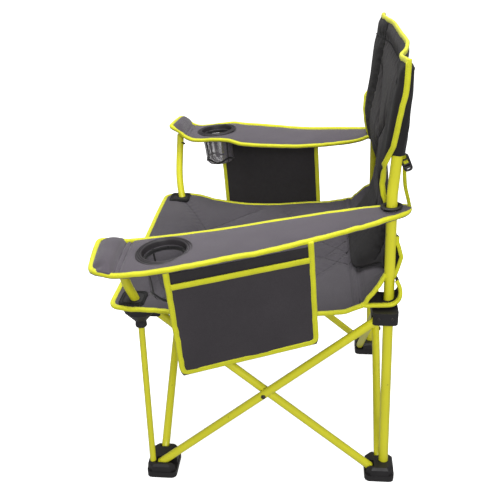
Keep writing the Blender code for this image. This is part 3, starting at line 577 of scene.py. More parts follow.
def stitches(shape, path, normal, length, gap, radius, lift, kind=0):
    """A row of thread stitches that lie on a surface."""
    path = resampled(path, 0.0008)
    run = lengths(path)
    normal = np.asarray(normal, float)
    at = 0.0
    while at + length < run[-1]:
        spots = np.linspace(at, at + length, 4)
        line = along_line(path, spots)
        line = line + normal * (lift + np.array((-0.0006, 0.0, 0.0, -0.0006)))[:, None]
        tube(shape, line, radius, 6, dome=False, kind=kind)
        at += length + gap


def ribbon(shape, path, across, normal, width, thick):
    """A flat strip along a path."""
    across = unit(np.broadcast_to(np.asarray(across, float), path.shape))
    normal = unit(np.broadcast_to(np.asarray(normal, float), path.shape))
    corners = np.array([(-0.5, 0.0), (-0.46, 0.5), (0.0, 0.56), (0.46, 0.5), (0.5, 0.0), (0.46, -0.5),
                        (0.0, -0.5), (-0.46, -0.5)])
    points = (path[:, None] + width * corners[None, :, :1] * across[:, None]
              + thick * corners[None, :, 1:] * normal[:, None])
    run = lengths(path)
    around = np.array((0.0, 0.04, 0.25, 0.46, 0.5, 0.54, 0.75, 0.96, 1.0))
    flat = pairs(run[:, None], around[None, :])
    facing = np.cross(across[0], normal[0]) @ tangents(path)[0] > 0
    index = shape.grid(points, flat, wrap=True, turned=not facing)
    ends = [index[0][:-1], index[-1][:-1][::-1]]
    for end in ends if facing else [e[::-1] for e in ends]:
        shape.face(end, [(0.0, 0.0)] * len(corners))


def rounded(corners, radius, spacing=0.002, closed=True):
    """A line through corners in a plane with each corner rounded."""
    corners = np.asarray(corners, float)
    count = len(corners)
    line = []
    for i in range(count):
        if not closed and i in (0, count - 1):
            line.append(corners[i][None])
            continue
        here, before, after = corners[i], corners[i - 1], corners[(i + 1) % count]
        reach = min(radius, np.linalg.norm(before - here) / 2, np.linalg.norm(after - here) / 2)
        first = here + unit(before - here) * reach
        last = here + unit(after - here) * reach
        t = np.linspace(0, 1, 9)[:, None]
        line.append((1 - t) ** 2 * first + 2 * t * (1 - t) * here + t**2 * last)
    line = np.concatenate(line)
    if closed:
        line = np.concatenate([line, line[:1]])
    return resampled(line, spacing)


def pull_to_circle(points, keep, centre, radius):
    """Leaves out the cells inside a circle and moves the rim's points onto it, in plan."""
    away = np.linalg.norm(points[..., :2] - centre, axis=-1)
    middles = (away[:-1, :-1] + away[1:, :-1] + away[:-1, 1:] + away[1:, 1:]) / 4
    keep &= middles > radius
    outside = np.zeros(away.shape, bool)
    inside = np.zeros(away.shape, bool)
    for di in (0, 1):
        for dj in (0, 1):
            view = (slice(di, di + keep.shape[0]), slice(dj, dj + keep.shape[1]))
            outside[view] |= keep
            inside[view] |= (~keep) & (middles <= radius)
    rim = outside & inside
    direction = unit(points[..., :2] - centre)
    points[rim, :2] = (centre + direction * radius)[rim]


def make(shape, name, looks, side, body, slot, *nodes, angle=None, fold=None):
    """The finished piece: it moves with its body and stands for the nodes; slot is not used."""
    obj = shape.build(name, looks, SIDES[side], angle)
    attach(obj, body)
    if nodes:
        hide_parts(*nodes)
    if fold:
        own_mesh(obj)
    return obj


# ---- Steel frame ------------------------------------------------------------
def axis_of(node):
    """The two end points of a straight bar, from its own mesh."""
    points = np.array([v.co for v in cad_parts[node].data.vertices], float)
    middle = points.mean(0)
    direction = np.linalg.svd(points - middle, full_matrices=False)[2][0]
    if direction[2] < 0:
        direction = -direction
    along = (points - middle) @ direction
    across = points - middle - along[:, None] * direction
    centre = middle + (across.min(0) + across.max(0)) / 2
    centre = centre - (0.0, FRAME_Y, 0.0)
    return centre + direction * along.min(), centre + direction * along.max()


def upright_y(z):
    """Depth of the upright's straight part, which leans forward a little."""
    return 0.2837 - 0.0313 * (z - 0.012)


def upright_at(z):
    """The centre line of the bent rear upright on the left."""
    z = np.asarray(z, float)
    share = np.clip((z - UPRIGHT_BEND_Z) / (UPRIGHT_TOP[2] - UPRIGHT_BEND_Z), 0.0, 1.0)
    straight_y = upright_y(np.minimum(z, UPRIGHT_BEND_Z))
    x = UPRIGHT_X + share * (UPRIGHT_TOP[0] - UPRIGHT_X)
    y = straight_y + share * (UPRIGHT_TOP[1] - upright_y(UPRIGHT_BEND_Z))
    return np.stack([x, y, z], axis=-1)


def bar(name, path, radius, side, body, node):
    shape = tube(Shape(), path, radius, 32)
    make(shape, name, COAT, side, body, "powder_coat", node, angle=50)


def straight_bar(name, radius, body, node):
    bar(name, resampled(axis_of(node), 0.02), radius, "left", body, node)


for which in ("left_side_inner", "left_side_outer", "right_side_inner", "right_side_outer",
              "rear_left_cross", "rear_right_cross", "front_left_cross", "front_right_cross"):
    body = which.replace("_side", "").replace("_cross", "") + "_bar"
    straight_bar(f"steel_{which}_tube", TUBE_R, body, f"{which}_tube")

POST_LINE = [(0.301, -0.266, 0.445), (0.301, -0.2655, 0.46), (0.3055, -0.268, 0.475),
             (0.3185, -0.273, 0.501), (0.339, -0.2765, 0.54)]
POST_TIP = {"left": (0.3735, -0.2765, 0.6), "right": (0.386, -0.2765, 0.627)}
for side in SIDES:
    straight_bar(f"steel_front_{side}_leg", LEG_R, f"front_{side}_leg", f"front_{side}_leg_tube")
    post = curved([*POST_LINE, POST_TIP[side]], 0.004)
    bar(f"steel_front_{side}_post", post, POST_R, side, f"front_{side}_post", f"front_{side}_arm_post")
    heights = np.concatenate([np.linspace(UPRIGHT_LOW_Z, 0.67, 26), np.linspace(0.68, 0.72, 9),
                              np.linspace(0.74, UPRIGHT_TOP[2], 10)])
    line = upright_at(heights)
    line[:, 0] += 0.0006 * hill(heights, UPRIGHT_BEND_Z, 0.02)   # the bend is a little eased
    bar(f"steel_rear_{side}_upright", line, UPRIGHT_R, side, f"rear_{side}_leg", f"rear_{side}_upright")


# ---- Seat -------------------------------------------------------------------
SEAT_FRONT, SEAT_REAR, SEAT_CORNER = -0.319, 0.3, 0.03
FLAP_ANGLE = radians(50)   # the seat's rear strip turns up from the ridge towards the back
SEAT_SEAMS = [
    [(0.292, -0.262), (0.1195, -0.173), (0.0, -0.108)],
    [(0.262, -0.045), (0.215, -0.09), (0.1195, -0.173), (0.055, -0.232), (0.0, -0.268)],
    [(0.24, 0.03), (0.144, 0.092), (0.094, 0.125), (0.0386, 0.166), (0.0, 0.19)],
    [(0.0, 0.1335), (0.0386, 0.166), (0.058, 0.182), (0.078, RIDGE_Y)],
]
SEAT_SIDE = np.array([  # depth and half width of the seat
    (-0.325, 0.333), (-0.29, 0.34), (-0.25, 0.338), (-0.205, 0.33), (-0.15, 0.319), (-0.09, 0.31),
    (0.0, 0.304), (0.12, 0.302), (0.2, 0.304), (0.24, 0.2985), (0.262, 0.292), (0.28, 0.276),
    (0.3, 0.25)])
SEAT_EDGE_DROP = np.array([  # depth and height of the side edge below the rear corner
    (-0.325, 0.0095), (-0.25, 0.0095), (-0.215, 0.012), (-0.18, 0.02), (-0.12, 0.025), (-0.02, 0.029),
    (0.1, 0.029), (0.15, 0.026), (0.18, 0.02), (0.205, 0.008), (0.23, 0.003), (0.305, 0.0)])
SEAT_LIFT = np.array([  # depth and rise of the right side edge, which is drawn a little tighter
    (-0.08, 0.0), (0.012, 0.006), (0.0965, 0.014), (0.175, 0.014), (0.205, 0.007), (0.235, 0.0)])


def seat_base(x, y):
    """Height of the seat's upper face without its quilting, before the rear strip turns up."""
    middle = 1 - smooth_step(np.abs(x), 0.0, 0.235)
    between = np.sin(pi * np.clip((y + 0.23) / 0.44, 0, 1)) ** 1.3
    return SEAT_Z - looked_up(SEAT_EDGE_DROP, y) - 0.022 * middle * (0.35 + 0.65 * between)


def seat_lift(side, x, y):
    return (side == "right") * looked_up(SEAT_LIFT, y) * smooth_step(x, 0.14, 0.3)


def seat_plan(s, t):
    """The seat's outline as a mapping: s runs from the middle to the side, t from the front to the rear."""
    nominal = SEAT_FRONT + t * (SEAT_REAR - SEAT_FRONT)
    widest = looked_up(SEAT_SIDE, nominal)
    turn = np.clip((s * widest - (widest - SEAT_CORNER)) / SEAT_CORNER, 0, 1)
    front = SEAT_FRONT + SEAT_CORNER * (1 - np.sqrt(1 - (turn * 0.985) ** 2))
    return s * widest, front + t * (SEAT_REAR - front)


def turned_up(points):
    """Bends what lies behind the ridge up towards the back."""
    points = points.copy()
    bend_y = RIDGE_Y + 0.006
    beyond = np.maximum(points[..., 1] - bend_y, 0.0)
    flatter = 0.24 * (1 - smooth_step(np.abs(points[..., 0]), 0.215, 0.275))
    angle = FLAP_ANGLE * (1 - flatter) * smooth_step(beyond, -0.004, 0.022)
    base = seat_base(points[..., 0], np.minimum(points[..., 1], bend_y))
    over = points[..., 2] - seat_base(points[..., 0], points[..., 1])
    behind = beyond > 0
    y = bend_y + beyond * np.cos(angle) - over * np.sin(angle)
    z = base + beyond * np.sin(angle) + over * np.cos(angle)
    points[..., 1] = np.where(behind, y, points[..., 1])
    points[..., 2] = np.where(behind, z, points[..., 2])
    return points


def seat_height(x, y, rim):
    """The upper face with its quilting and its ridge; rim is the distance to the nearest edge."""
    rise = quilt(pairs(x, y), SEAT_SEAMS, 0.0062, 0.015, 0.0008)
    ridge = (0.006 * hill(y, RIDGE_Y, 0.0038) - 0.005 * hill(y, RIDGE_Y - 0.0085, 0.0042)
             - 0.003 * hill(y, RIDGE_Y + 0.0085, 0.004))
    ripple = 0.001 * waves(x, y, 11, 6, 4.0, 14.0)
    edge = 1 - np.exp(-((rim / 0.016) ** 1.5))
    return seat_base(x, y) - 0.004 + (rise + ridge + ripple) * edge


def seat_half(side):
    rows, columns = 130, 64
    s, t = np.meshgrid(np.linspace(0.0012, 1.0, columns), np.linspace(0, 1, rows))
    x, y = seat_plan(s, t)
    flat = np.stack([x, y, np.zeros_like(x)], axis=-1)
    keep = np.ones((rows - 1, columns - 1), bool)
    pull_to_circle(flat, keep, POST_HOLE, 0.0125)
    x, y = flat[..., 0], flat[..., 1]
    rim = np.minimum((1 - s) * 0.31, np.minimum(t, 1 - t) * 0.6)
    lift = seat_lift(side, x, y)
    under = seat_base(x, y) - 0.01 + 0.0035 * hill(rim, 0.0, 0.012) + 0.0022 * smooth_step(-y, 0.225, 0.25)
    top = np.stack([x, y, seat_height(x, y, rim) + lift], axis=-1)
    low = np.stack([x, y, under + lift], axis=-1)
    shape = Shape()
    shape.panel(turned_up(top), turned_up(low), flat[..., :2], keep)
    piece = make(shape, f"seat_cloth_{side}", GREY, side, f"seat_{side}", "cloth", f"seat_{side}_half",
                 fold=SEAT_FOLD)

    # The lime binding runs from the middle of the front round the side to the middle of the rear.
    edge_t = np.linspace(0, 1, 240)
    front_s = np.linspace(0.0, 1.0, 110)
    outline = np.concatenate([
        pairs(*seat_plan(front_s, 0.0)),
        pairs(*seat_plan(1.0, edge_t))[1:-1],
        pairs(*seat_plan(front_s[::-1], 1.0)),
    ])
    outline = resampled(outline, 0.004)
    path = np.column_stack([outline, seat_base(outline[:, 0], outline[:, 1]) - 0.0045])
    path[:, 2] += seat_lift(side, outline[:, 0], outline[:, 1])
    ends = turned_up(path + 0.004 * np.cross(UP, tangents(path)))
    path = turned_up(path)
    shape = tape(path, ends - path, width=0.0092, thick=0.0086, rim=0.0018, seed=3)
    make(shape, f"seat_binding_{side}", LIME_TAPE, side, f"seat_{side}", "cloth", fold=SEAT_FOLD)


def seat_stitching(side):
    """Dark thread along the quilting and both sides of the ridge, and a strip under the middle seam."""
    lines = [curved(seam, 0.003) if len(seam) > 3 else resampled(seam, 0.003) for seam in SEAT_SEAMS]
    for y, reach in ((RIDGE_Y - 0.0085, 0.298), (RIDGE_Y + 0.0075, 0.296)):
        lines.append(resampled([(reach, y), (0.004, y)], 0.003))
    shape = Shape()
    for line in lines:
        line = line[line[:, 0] > 0.003]
        x, y = line.T
        spots = np.stack([x, y, seat_height(x, y, 0.05) + seat_lift(side, x, y)], axis=1)
        stitches(shape, turned_up(spots), UP, 0.0046, 0.0007, 0.0007, 0.0002)
    if side == "left":
        along = np.linspace(SEAT_FRONT + 0.004, SEAT_REAR - 0.004, 90)
        strip = np.stack([0 * along, along, seat_base(0 * along, along) - 0.0062], axis=1)
        ribbon(shape, turned_up(strip), (1.0, 0.0, 0.0), UP, 0.008, 0.001)
    make(shape, f"seat_stitching_{side}", THREAD, side, f"seat_{side}", "cloth", fold=SEAT_FOLD)


for side in SIDES:
    seat_half(side)
    seat_stitching(side)


# ---- Seat corners -----------------------------------------------------------
def front_patch(side):
    """Ribbed webbing sewn on a front corner, with the post's hole and bold stitching round it."""
    thick, rings = 0.003, 10
    corners = [(0.3275, -0.299), (0.3275, -0.244), (0.268, -0.244), (0.268, -0.299)]
    outline = rounded(corners, 0.012, 0.0025)
    inner = POST_HOLE + 0.0108 * unit(outline - POST_HOLE)
    share = np.linspace(0, 1, rings)[:, None, None]
    flat = outline * (1 - share) + inner * share
    plan = flat[:, :-1]
    height = seat_base(plan[..., 0], plan[..., 1]) + thick + 0.0015 * hill(share[..., 0], 1.0, 0.1)
    top = np.dstack([plan, height])
    shape = Shape()
    a = shape.grid(top, flat, wrap=True)
    b = shape.grid(top - (0.0, 0.0, thick), flat, wrap=True, turned=True)
    for ring in (0, rings - 1):
        for i in range(plan.shape[1]):
            corner = [a[ring][i], a[ring][i + 1], b[ring][i + 1], b[ring][i]]
            if ring:
                corner.reverse()
            shape.face(corner, [flat[ring][i], flat[ring][i + 1], flat[ring][i + 1], flat[ring][i]])
    for share in (0.1, 0.34):
        line = outline * (1 - share) + inner * share
        spots = np.column_stack([line, seat_base(*line.T) + thick])
        stitches(shape, spots, UP, 0.0044, 0.0008, 0.0011, 0.0007, kind=1)
    make(shape, f"seat_front_{side}_patch", [WEBBING, THREAD], side, f"front_{side}_post", "webbing",
         f"seat_front_{side}_grommet", angle=60)


def rear_tab(side):
    """Black webbing at a rear corner: flat round the upright, then a loop behind it, with a lime edge."""
    profile = curved([(0.21, 0.4655), (0.24, 0.4655), (0.265, 0.4655), (0.278, 0.468), (0.287, 0.477),
                      (0.29, 0.488), (0.289, 0.5), (0.2845, 0.51), (0.2805, 0.516)], 0.0022)
    run = lengths(profile)
    rows, columns = len(profile), 30
    inner = np.interp(run, [0, 0.05, 0.09, run[-1]], [0.236, 0.24, 0.246, 0.252])
    outer = np.interp(run, [0, 0.02, 0.05, 0.09, run[-1]], [0.303, 0.303, 0.301, 0.295, 0.284])
    x = inner[:, None] + np.linspace(0, 1, columns) * (outer - inner)[:, None]
    y, z = (np.broadcast_to(profile[:, k, None], x.shape) for k in (0, 1))
    points = np.stack([x, y, z], axis=-1)
    # The upright's hole is only in the flat part, so the loop is kept out of its reach meanwhile.
    level = z < 0.474
    plan = np.stack([x, np.where(level, y, 9.0), z], axis=-1)
    keep = np.ones((rows - 1, columns - 1), bool)
    pull_to_circle(plan, keep, SEAT_HOLE, 0.0135)
    points[level] = plan[level]
    slope = tangents(profile)
    normal = np.stack([0 * run, -slope[:, 1], slope[:, 0]], axis=1)[:, None, :]
    flat = pairs(x, run[:, None])
    shape = Shape()
    shape.panel(points + 0.0014 * normal, points - 0.0014 * normal, flat, keep)
    corners = [(0.293, 0.244), (0.293, 0.256), (0.2465, 0.256), (0.2465, 0.244)]
    line = rounded(corners, 0.004, 0.002, closed=False)
    spots = np.column_stack([line, np.full(len(line), profile[0, 1])])
    stitches(shape, spots, UP, 0.0044, 0.0008, 0.001, 0.0016, kind=1)
    body = f"rear_{side}_slide"
    make(shape, f"seat_rear_{side}_tab", [WEBBING, THREAD], side, body, "webbing",
         f"seat_rear_{side}_grommet", angle=60)
    edge = np.column_stack([outer, profile])
    shape = tape(edge, (-1.0, 0.0, 0.0), width=0.009, thick=0.0085, rim=0.0018, seed=13)
    make(shape, f"seat_rear_{side}_edge", LIME_TAPE, side, body, "cloth")


def slider_fittings(side):
    """Two cross-head screws in the rear slider's side, and the washer between slider and webbing."""
    body = f"rear_{side}_slide"
    shape = Shape()
    head = [(0.0, 0.0012), (0.0028, 0.001), (0.0034, 0.0004), (0.0036, -0.0006), (0.0, -0.0006)]
    for y in (0.2465, 0.2745):
        centre = np.array((0.3186, y, 0.444))
        lathe(shape, head, centre, (1.0, 0.0, 0.0), 24, closed=False)
        for turn in (0.4, 0.4 + pi / 2):
            arm = 0.002 * np.array((0.0, cos(turn), sin(turn)))
            spot = centre + (head[0][1], 0.0, 0.0)
            tube(shape, [spot - arm, spot + arm], 0.0005, 8, kind=1)
    make(shape, f"slider_screws_{side}", [RIVET, PLASTIC], side, body, "rivet_steel", angle=40)
    section = [(0.0128, 0.4578), (0.0215, 0.4578), (0.0225, 0.46), (0.0225, 0.4635), (0.0128, 0.4635)]
    shape = lathe(Shape(), section, (*SEAT_HOLE, 0.0), UP, 40)
    make(shape, f"seat_rear_{side}_washer", PLASTIC, side, body, "moulded_plastic", angle=50)


for side in SIDES:
    front_patch(side)
    rear_tab(side)
    slider_fittings(side)


# ---- Backrest ---------------------------------------------------------------
# Height; x and depth where the cloth turns; x and depth of its edge; depth in the middle.
BACK_SIDE = np.array([
    (0.472, 0.218, 0.22, 0.238, 0.23, 0.196), (0.5, 0.22, 0.242, 0.24, 0.25, 0.213),
    (0.53, 0.2225, 0.259, 0.2425, 0.264, 0.234), (0.56, 0.223, 0.267, 0.243, 0.27, 0.25),
    (0.6, 0.2235, 0.269, 0.2435, 0.271, 0.262), (0.64, 0.2235, 0.264, 0.2435, 0.264, 0.264),
    (0.69, 0.2235, 0.251, 0.2435, 0.243, 0.26), (0.715, 0.227, 0.2455, 0.2465, 0.239, 0.2565),
    (0.742, 0.236, 0.2425, 0.257, 0.24, 0.256), (0.772, 0.252, 0.244, 0.274, 0.249, 0.26),
    (0.807, 0.27, 0.247, 0.289, 0.26, 0.266), (0.848, 0.2785, 0.251, 0.296, 0.265, 0.271),
    (0.887, 0.2816, 0.2545, 0.3, 0.27, 0.277), (0.907, 0.283, 0.2562, 0.3022, 0.274, 0.28),
    (0.9345, 0.285, 0.2595, 0.3035, 0.2755, 0.283), (0.95, 0.286, 0.263, 0.3035, 0.2755, 0.284),
    (0.963, 0.2865, 0.268, 0.3035, 0.2755, 0.2845), (0.98, 0.287, 0.272, 0.303, 0.275, 0.285)])
BACK_LOW, BACK_HIGH = 0.468, 0.972
WRAP = 0.86                # share of the half width before the cloth turns round the sleeve


def back_top_z(x):
    """The top edge: a little higher to the left, with a dip before the left sleeve."""
    return np.interp(x, [-0.31, -0.27, -0.225, -0.15, 0.0, 0.15, 0.185, 0.225, 0.25, 0.27, 0.31],
                     [0.969, 0.968, 0.969, 0.9705, 0.974, 0.9785, 0.9795, 0.9725, 0.969, 0.9695, 0.972])


def back_low_z(s):
    """The lower edge rises at both sides."""
    return BACK_LOW + 0.006 + 0.05 * smooth_step(np.abs(s), 0.52, 0.86)


def back_middle(s, t):
    """The back's middle layer: s from -1 to 1 across, t from 0 to 1 up."""
    share = np.abs(s)
    low = back_low_z(s)
    z = low + t * (BACK_HIGH - low)
    turn_x, turn_y, edge_x, edge_y, centre_y = (looked_up(BACK_SIDE, z, k) for k in range(1, 6))
    # The right edge hangs forward of the sleeve for a hand's width below it.
    loose = (s < 0) * smooth_step(z, 0.65, 0.69) * (1 - smooth_step(z, 0.77, 0.8))
    edge_y = edge_y + loose * (turn_y - 0.013 - edge_y)
    edge_x = edge_x + loose * (turn_x + 0.008 - edge_x)
    # Lower down it is drawn back a little.
    drawn = 0.01 * (s < 0) * smooth_step(z, 0.5, 0.54) * (1 - smooth_step(z, 0.64, 0.68))
    edge_y, turn_y = edge_y + drawn, turn_y + drawn
    u = np.clip(share / WRAP, 0, 1)
    v = np.clip((share - WRAP) / (1 - WRAP), 0, 1)
    x = u * turn_x
    y = centre_y + (turn_y - centre_y) * smooth_step(u, 0.45, 1.0)
    x = x + 2 * v * (1 - v) * (edge_x - turn_x) + v * v * (edge_x - turn_x)
    y = y + v * v * (edge_y - turn_y)
    # The dip in the top edge is pushed forward.
    y = y - 0.009 * (s > 0) * hill(x, 0.245, 0.025) * smooth_step(z, 0.94, 0.97)
    z = low + t * (back_top_z(np.sign(s) * x) - low)
    return np.stack([np.sign(s) * x, y, z], axis=-1)


BACK_SEAMS = [
    [(STRIP_X, 0.47), (STRIP_X + 0.01, 0.985)], [(-STRIP_X, 0.47), (-STRIP_X - 0.01, 0.985)],
    [(-0.32, 0.925), (0.32, 0.925)], [(-STRIP_X, 0.6), (0.0, 0.735), (STRIP_X, 0.6)],
    [(-STRIP_X, 0.87), (0.0, 0.735), (STRIP_X, 0.87)],
]


def back_creases(x, z):
    """Long upright creases that wander a little, deepest near the top edge and the seams."""
    random = np.random.default_rng(21)
    total = np.zeros_like(x)
    for _ in range(34):
        place, wide = random.uniform(-0.27, 0.27), random.uniform(0.004, 0.01)
        low, high = sorted(random.uniform(0.5, 0.98, 2))
        high = max(high, low + 0.1)
        drift, phase = random.uniform(-0.02, 0.02), random.uniform(0, 2 * pi)
        line = place + drift * (z - low) / 0.3 + 0.003 * np.sin(2 * pi * z / 0.16 + phase)
        inside = np.clip((z - low) / 0.04, 0, 1) * np.clip((high - z) / 0.04, 0, 1)
        total += random.uniform(-1.0, 0.7) * inside * hill(x, line, wide)
    return total


def back_piece(shape, name, looks, *nodes):
    return make(shape, name, looks, "left", "rear_left_leg", "cloth", *nodes, fold=BACK_FOLD)


def backrest():
    rows, columns = 122, 140
    s, t = np.meshgrid(np.linspace(-1, 1, columns), np.linspace(0, 1, rows))
    middle = back_middle(s, t)
    out = unit(np.cross(np.gradient(middle, axis=1), np.gradient(middle, axis=0)))
    x, z = middle[..., 0], middle[..., 2]
    spots = pairs(x, z)
    rim = np.minimum((1 - np.abs(s)) * 0.28, np.minimum(t, 1 - t) * 0.49)
    fade = 0.04 + 0.96 * (1 - hill(rim, 0.0, 0.016))
    rise = fade * quilt(spots, BACK_SEAMS, 0.0085, 0.017, 0.0011)
    free = 1 - smooth_step(np.abs(x), 0.235, 0.268) * smooth_step(z, 0.7, 0.76)   # not round a sleeve
    front_out = 0.0022 + (rise + 0.0031 * back_creases(x, z) * fade) * (0.35 + 0.65 * free)
    rear_out = 0.0012 + (0.001 + 0.55 * rise + 0.001 * waves(x, z, 31, 5, 4, 12)) * free
    front = middle + out * front_out[..., None]
    rear = middle - out * rear_out[..., None]
    # The side panels and all cells below z 0.6 take the darker second cloth; below 0.6 that darkness is
    # painted shade.
    strip = np.abs(x[:-1, :-1] + x[1:, 1:]) / 2 > STRIP_X + 0.004
    kind = (strip | (z[:-1, :-1] < 0.6)).astype(int)
    shape = Shape()
    shape.panel(front, rear, spots, kind=kind)
    # The back's middle cloth is darkened as painted shade.
    piece = back_piece(shape, "back_cloth", [BACK_SHADED_GREY, BACK_SIDES_AND_SHADE], "backrest")

    # The lime binding runs up the left side, over the top and down the right side.
    up = np.linspace(0.12, 1, 180)
    over = np.linspace(1, -1, 260)
    outline = np.concatenate([pairs(1.0, up), pairs(over, 1.0)[1:-1], pairs(-1.0, up[::-1])])
    s, t = outline.T
    path = back_middle(s, t)
    inner = back_middle(s * 0.975, t - 0.02 * (t > 0.9999))
    run = lengths(path)
    at = np.linspace(0, run[-1], int(run[-1] / 0.004))
    inward = np.stack([np.interp(at, run, column) for column in (inner - path).T], axis=1)
    for _ in range(3):
        inward[1:-1] = (inward[:-2] + inward[1:-1] + inward[2:]) / 3
    shape = tape(along_line(path, at), inward, width=0.0092, thick=0.0078, rim=0.0016, seed=5)
    back_piece(shape, "back_binding", LIME_TAPE)


def back_stitching():
    """Thread on the seams of the side panels, on the cross seam near the top and on the quilting."""
    shape = Shape()
    s_axis = np.linspace(-1, 1, 401)
    for seam in BACK_SEAMS:
        line = resampled(seam, 0.003)
        line = line[(np.abs(line[:, 0]) < 0.29) & (line[:, 1] < 0.963) & (line[:, 1] > 0.5)]
        spots = []
        for x, z in line:
            share = (z - BACK_LOW) / (BACK_HIGH - BACK_LOW)
            s = np.interp(x, back_middle(s_axis, share)[:, 0], s_axis)
            low = back_low_z(s)
            t = (z - low) / (BACK_HIGH - low)
            if t < 0.02:
                continue
            spots.append(back_middle(s, t) + (0.0, -0.0036, 0.0))
        if len(spots) > 4:
            stitches(shape, np.array(spots), (0.0, -1.0, 0.0), 0.0046, 0.001, 0.0007, 0.0003)
    back_piece(shape, "back_stitching", THREAD)


def back_corner(side):
    """The back's lower corner: it passes the upright inside and shows behind it as a small lime-edged ear."""
    rows, columns = 34, 14
    wide, low_z, high_z, half_thick = 0.06, 0.512, 0.608, 0.0009
    heights = np.linspace(low_z, high_z, rows)
    ear = np.interp(heights, [low_z, 0.535, 0.563, 0.585, 0.598, high_z],
                    [0.28, 0.2865, 0.2925, 0.286, 0.281, 0.277])
    front = looked_up(BACK_SIDE, heights, 4)
    lines = []
    for z, y_ear, y_front in zip(heights, ear, front):
        line = curved([(0.235, y_front + 0.004, z), (0.247, y_front + 0.008, z), (0.252, 0.27, z),
                       (0.256, 0.279, z), (0.264, max(y_ear, 0.2815), z)], 0.004)
        lines.append(along_line(line, np.linspace(0, 1, columns) * lengths(line)[-1]))
    lines = np.array(lines)
    out = unit(np.cross(np.gradient(lines, axis=1), np.gradient(lines, axis=0)))
    flat = pairs(np.linspace(0, wide, columns), lines[..., 2])
    shape = Shape()
    shape.panel(lines + half_thick * out, lines - half_thick * out, flat)
    piece = make(shape, f"back_corner_{side}", DARK, side, f"rear_{side}_leg", "cloth")
    edge = lines[:, -1] + (0.0015, 0.0, 0.0)
    shape = tape(edge, (0.0, -1.0, 0.0), width=0.007, thick=0.005, rim=0.0012, seed=17)
    make(shape, f"back_corner_edge_{side}", LIME_TAPE, side, f"rear_{side}_leg", "cloth")


backrest()
back_stitching()
for side in SIDES:
    back_corner(side)


# ---- Pole sleeves -----------------------------------------------------------
def pole_sleeve(side):
    """A dark cloth tube, closed and stitched at its top, round the top of the upright."""
    sides, radius, open_rows = 44, 0.015, 42
    heights = np.concatenate([np.linspace(0.786, 0.95, open_rows), [0.9565, 0.9605, 0.9632, 0.964]])
    narrowed = np.interp(heights[:open_rows], [0.0, 0.88, 0.93, 0.95], [1.0, 1.0, 0.86, 0.74])
    shares = np.concatenate([narrowed, [0.66, 0.52, 0.32, 0.05]])
    angles = np.linspace(0, 2 * pi, sides, endpoint=False)
    ring = np.stack([np.cos(angles), np.sin(angles), 0 * angles], axis=-1)
    outer, inner = [], []
    for number, (place, share) in enumerate(zip(upright_at(heights), shares)):
        crease = 0.0006 * np.sin(3 * angles + number * 0.31) + 0.0004 * np.sin(7 * angles - number * 0.5)
        reach = radius * share + crease * np.clip((share - 0.7) / 0.3, 0, 1)
        outer.append(place + reach[:, None] * ring)
        if number < open_rows:
            inner.append(place + min(0.0126, radius * share - 0.0004) * ring)
    across = np.linspace(0, 0.104, sides + 1)
    shape = Shape()
    first = shape.grid(np.array(outer), pairs(across[None, :], heights[:, None]), wrap=True)
    lined = pairs(across[None, :], heights[:open_rows, None])
    second = shape.grid(np.array(inner), lined, wrap=True, turned=True)
    for i in range(sides):
        shape.face([second[0][i], second[0][i + 1], first[0][i + 1], first[0][i]], [(0.0, 0.0)] * 4)
    shape.face(first[-1][:-1], [(0.0, 0.0)] * sides)
    shape.face(second[-1][:-1][::-1], [(0.0, 0.0)] * sides)
    piece = make(shape, f"back_sleeve_{side}", DARK, side, f"rear_{side}_leg", "cloth",
                 f"{side}_pole_sleeve", angle=70)


for side in SIDES:
    pole_sleeve(side)


# ---- Armrests ---------------------------------------------------------------
ARM_INNER = np.array([  # depth and x of the inner edge
    (-0.3205, 0.344), (-0.174, 0.328), (-0.04, 0.31), (0.06, 0.289), (0.15, 0.27), (0.225, 0.25),
    (0.262, 0.2455), (0.29, 0.248), (0.302, 0.26)])
ARM_OUTER = np.array([  # depth and x of the outer edge
    (-0.3205, 0.476), (-0.25, 0.4815), (-0.174, 0.4815), (-0.1, 0.468), (-0.03, 0.445), (0.035, 0.414),
    (0.104, 0.379), (0.175, 0.342), (0.225, 0.317), (0.262, 0.301), (0.29, 0.287), (0.302, 0.268)])
ARM_FRONT, ARM_REAR = -0.3205, 0.302
ARM_FRONT_PART = -0.235    # where the slanted, curled front part ends
ROLL_START, ROLL_END = -0.3125, -0.262
ROLL_SEAMS = (ROLL_END, ROLL_END + 0.011)
# How each armrest hangs: depth, rise of the inner edge, rise of the outer edge.
ARM_HANG = {
    "left": np.array([
        (-0.325, 0.006, -0.004), (-0.29, 0.002, -0.006), (-0.25, 0.0, -0.008), (-0.2, 0.0, -0.006),
        (-0.13, 0.0, -0.002), (-0.05, 0.002, 0.0), (0.02, 0.004, -0.005), (0.08, 0.004, -0.007),
        (0.13, 0.005, -0.0085), (0.19, 0.003, -0.0085), (0.225, 0.001, -0.0085), (0.262, 0.0, -0.005),
        (0.305, 0.0, -0.002)]),
    "right": np.array([
        (-0.325, 0.042, 0.044), (-0.29, 0.026, 0.026), (-0.255, 0.009, 0.008), (-0.225, 0.0, 0.0),
        (-0.17, -0.001, 0.001), (-0.13, -0.006, 0.001), (-0.09, -0.018, -0.004), (0.0, -0.025, -0.008),
        (0.08, -0.026, -0.009), (0.17, -0.019, -0.003), (0.225, -0.009, 0.0), (0.25, -0.001, 0.001),
        (0.305, 0.0, 0.0)]),
}
ARM_SHORT = {"left": 0.0, "right": 0.02}   # how far the curled front end is drawn back


def arm_edges(y):
    return tuple(looked_up(curved(edge, 0.004), y) for edge in (ARM_INNER, ARM_OUTER))


def slant(y, share):
    """The armrest's front end is cut at a slant: its outer corner stands further back."""
    return 0.0155 * share**1.5 * np.clip((ARM_FRONT_PART - y) / (ARM_FRONT_PART - ARM_FRONT), 0, 1)


def arm_middle_z(y):
    return CUP[2] + ARM_SLOPE * (y - CUP[1])


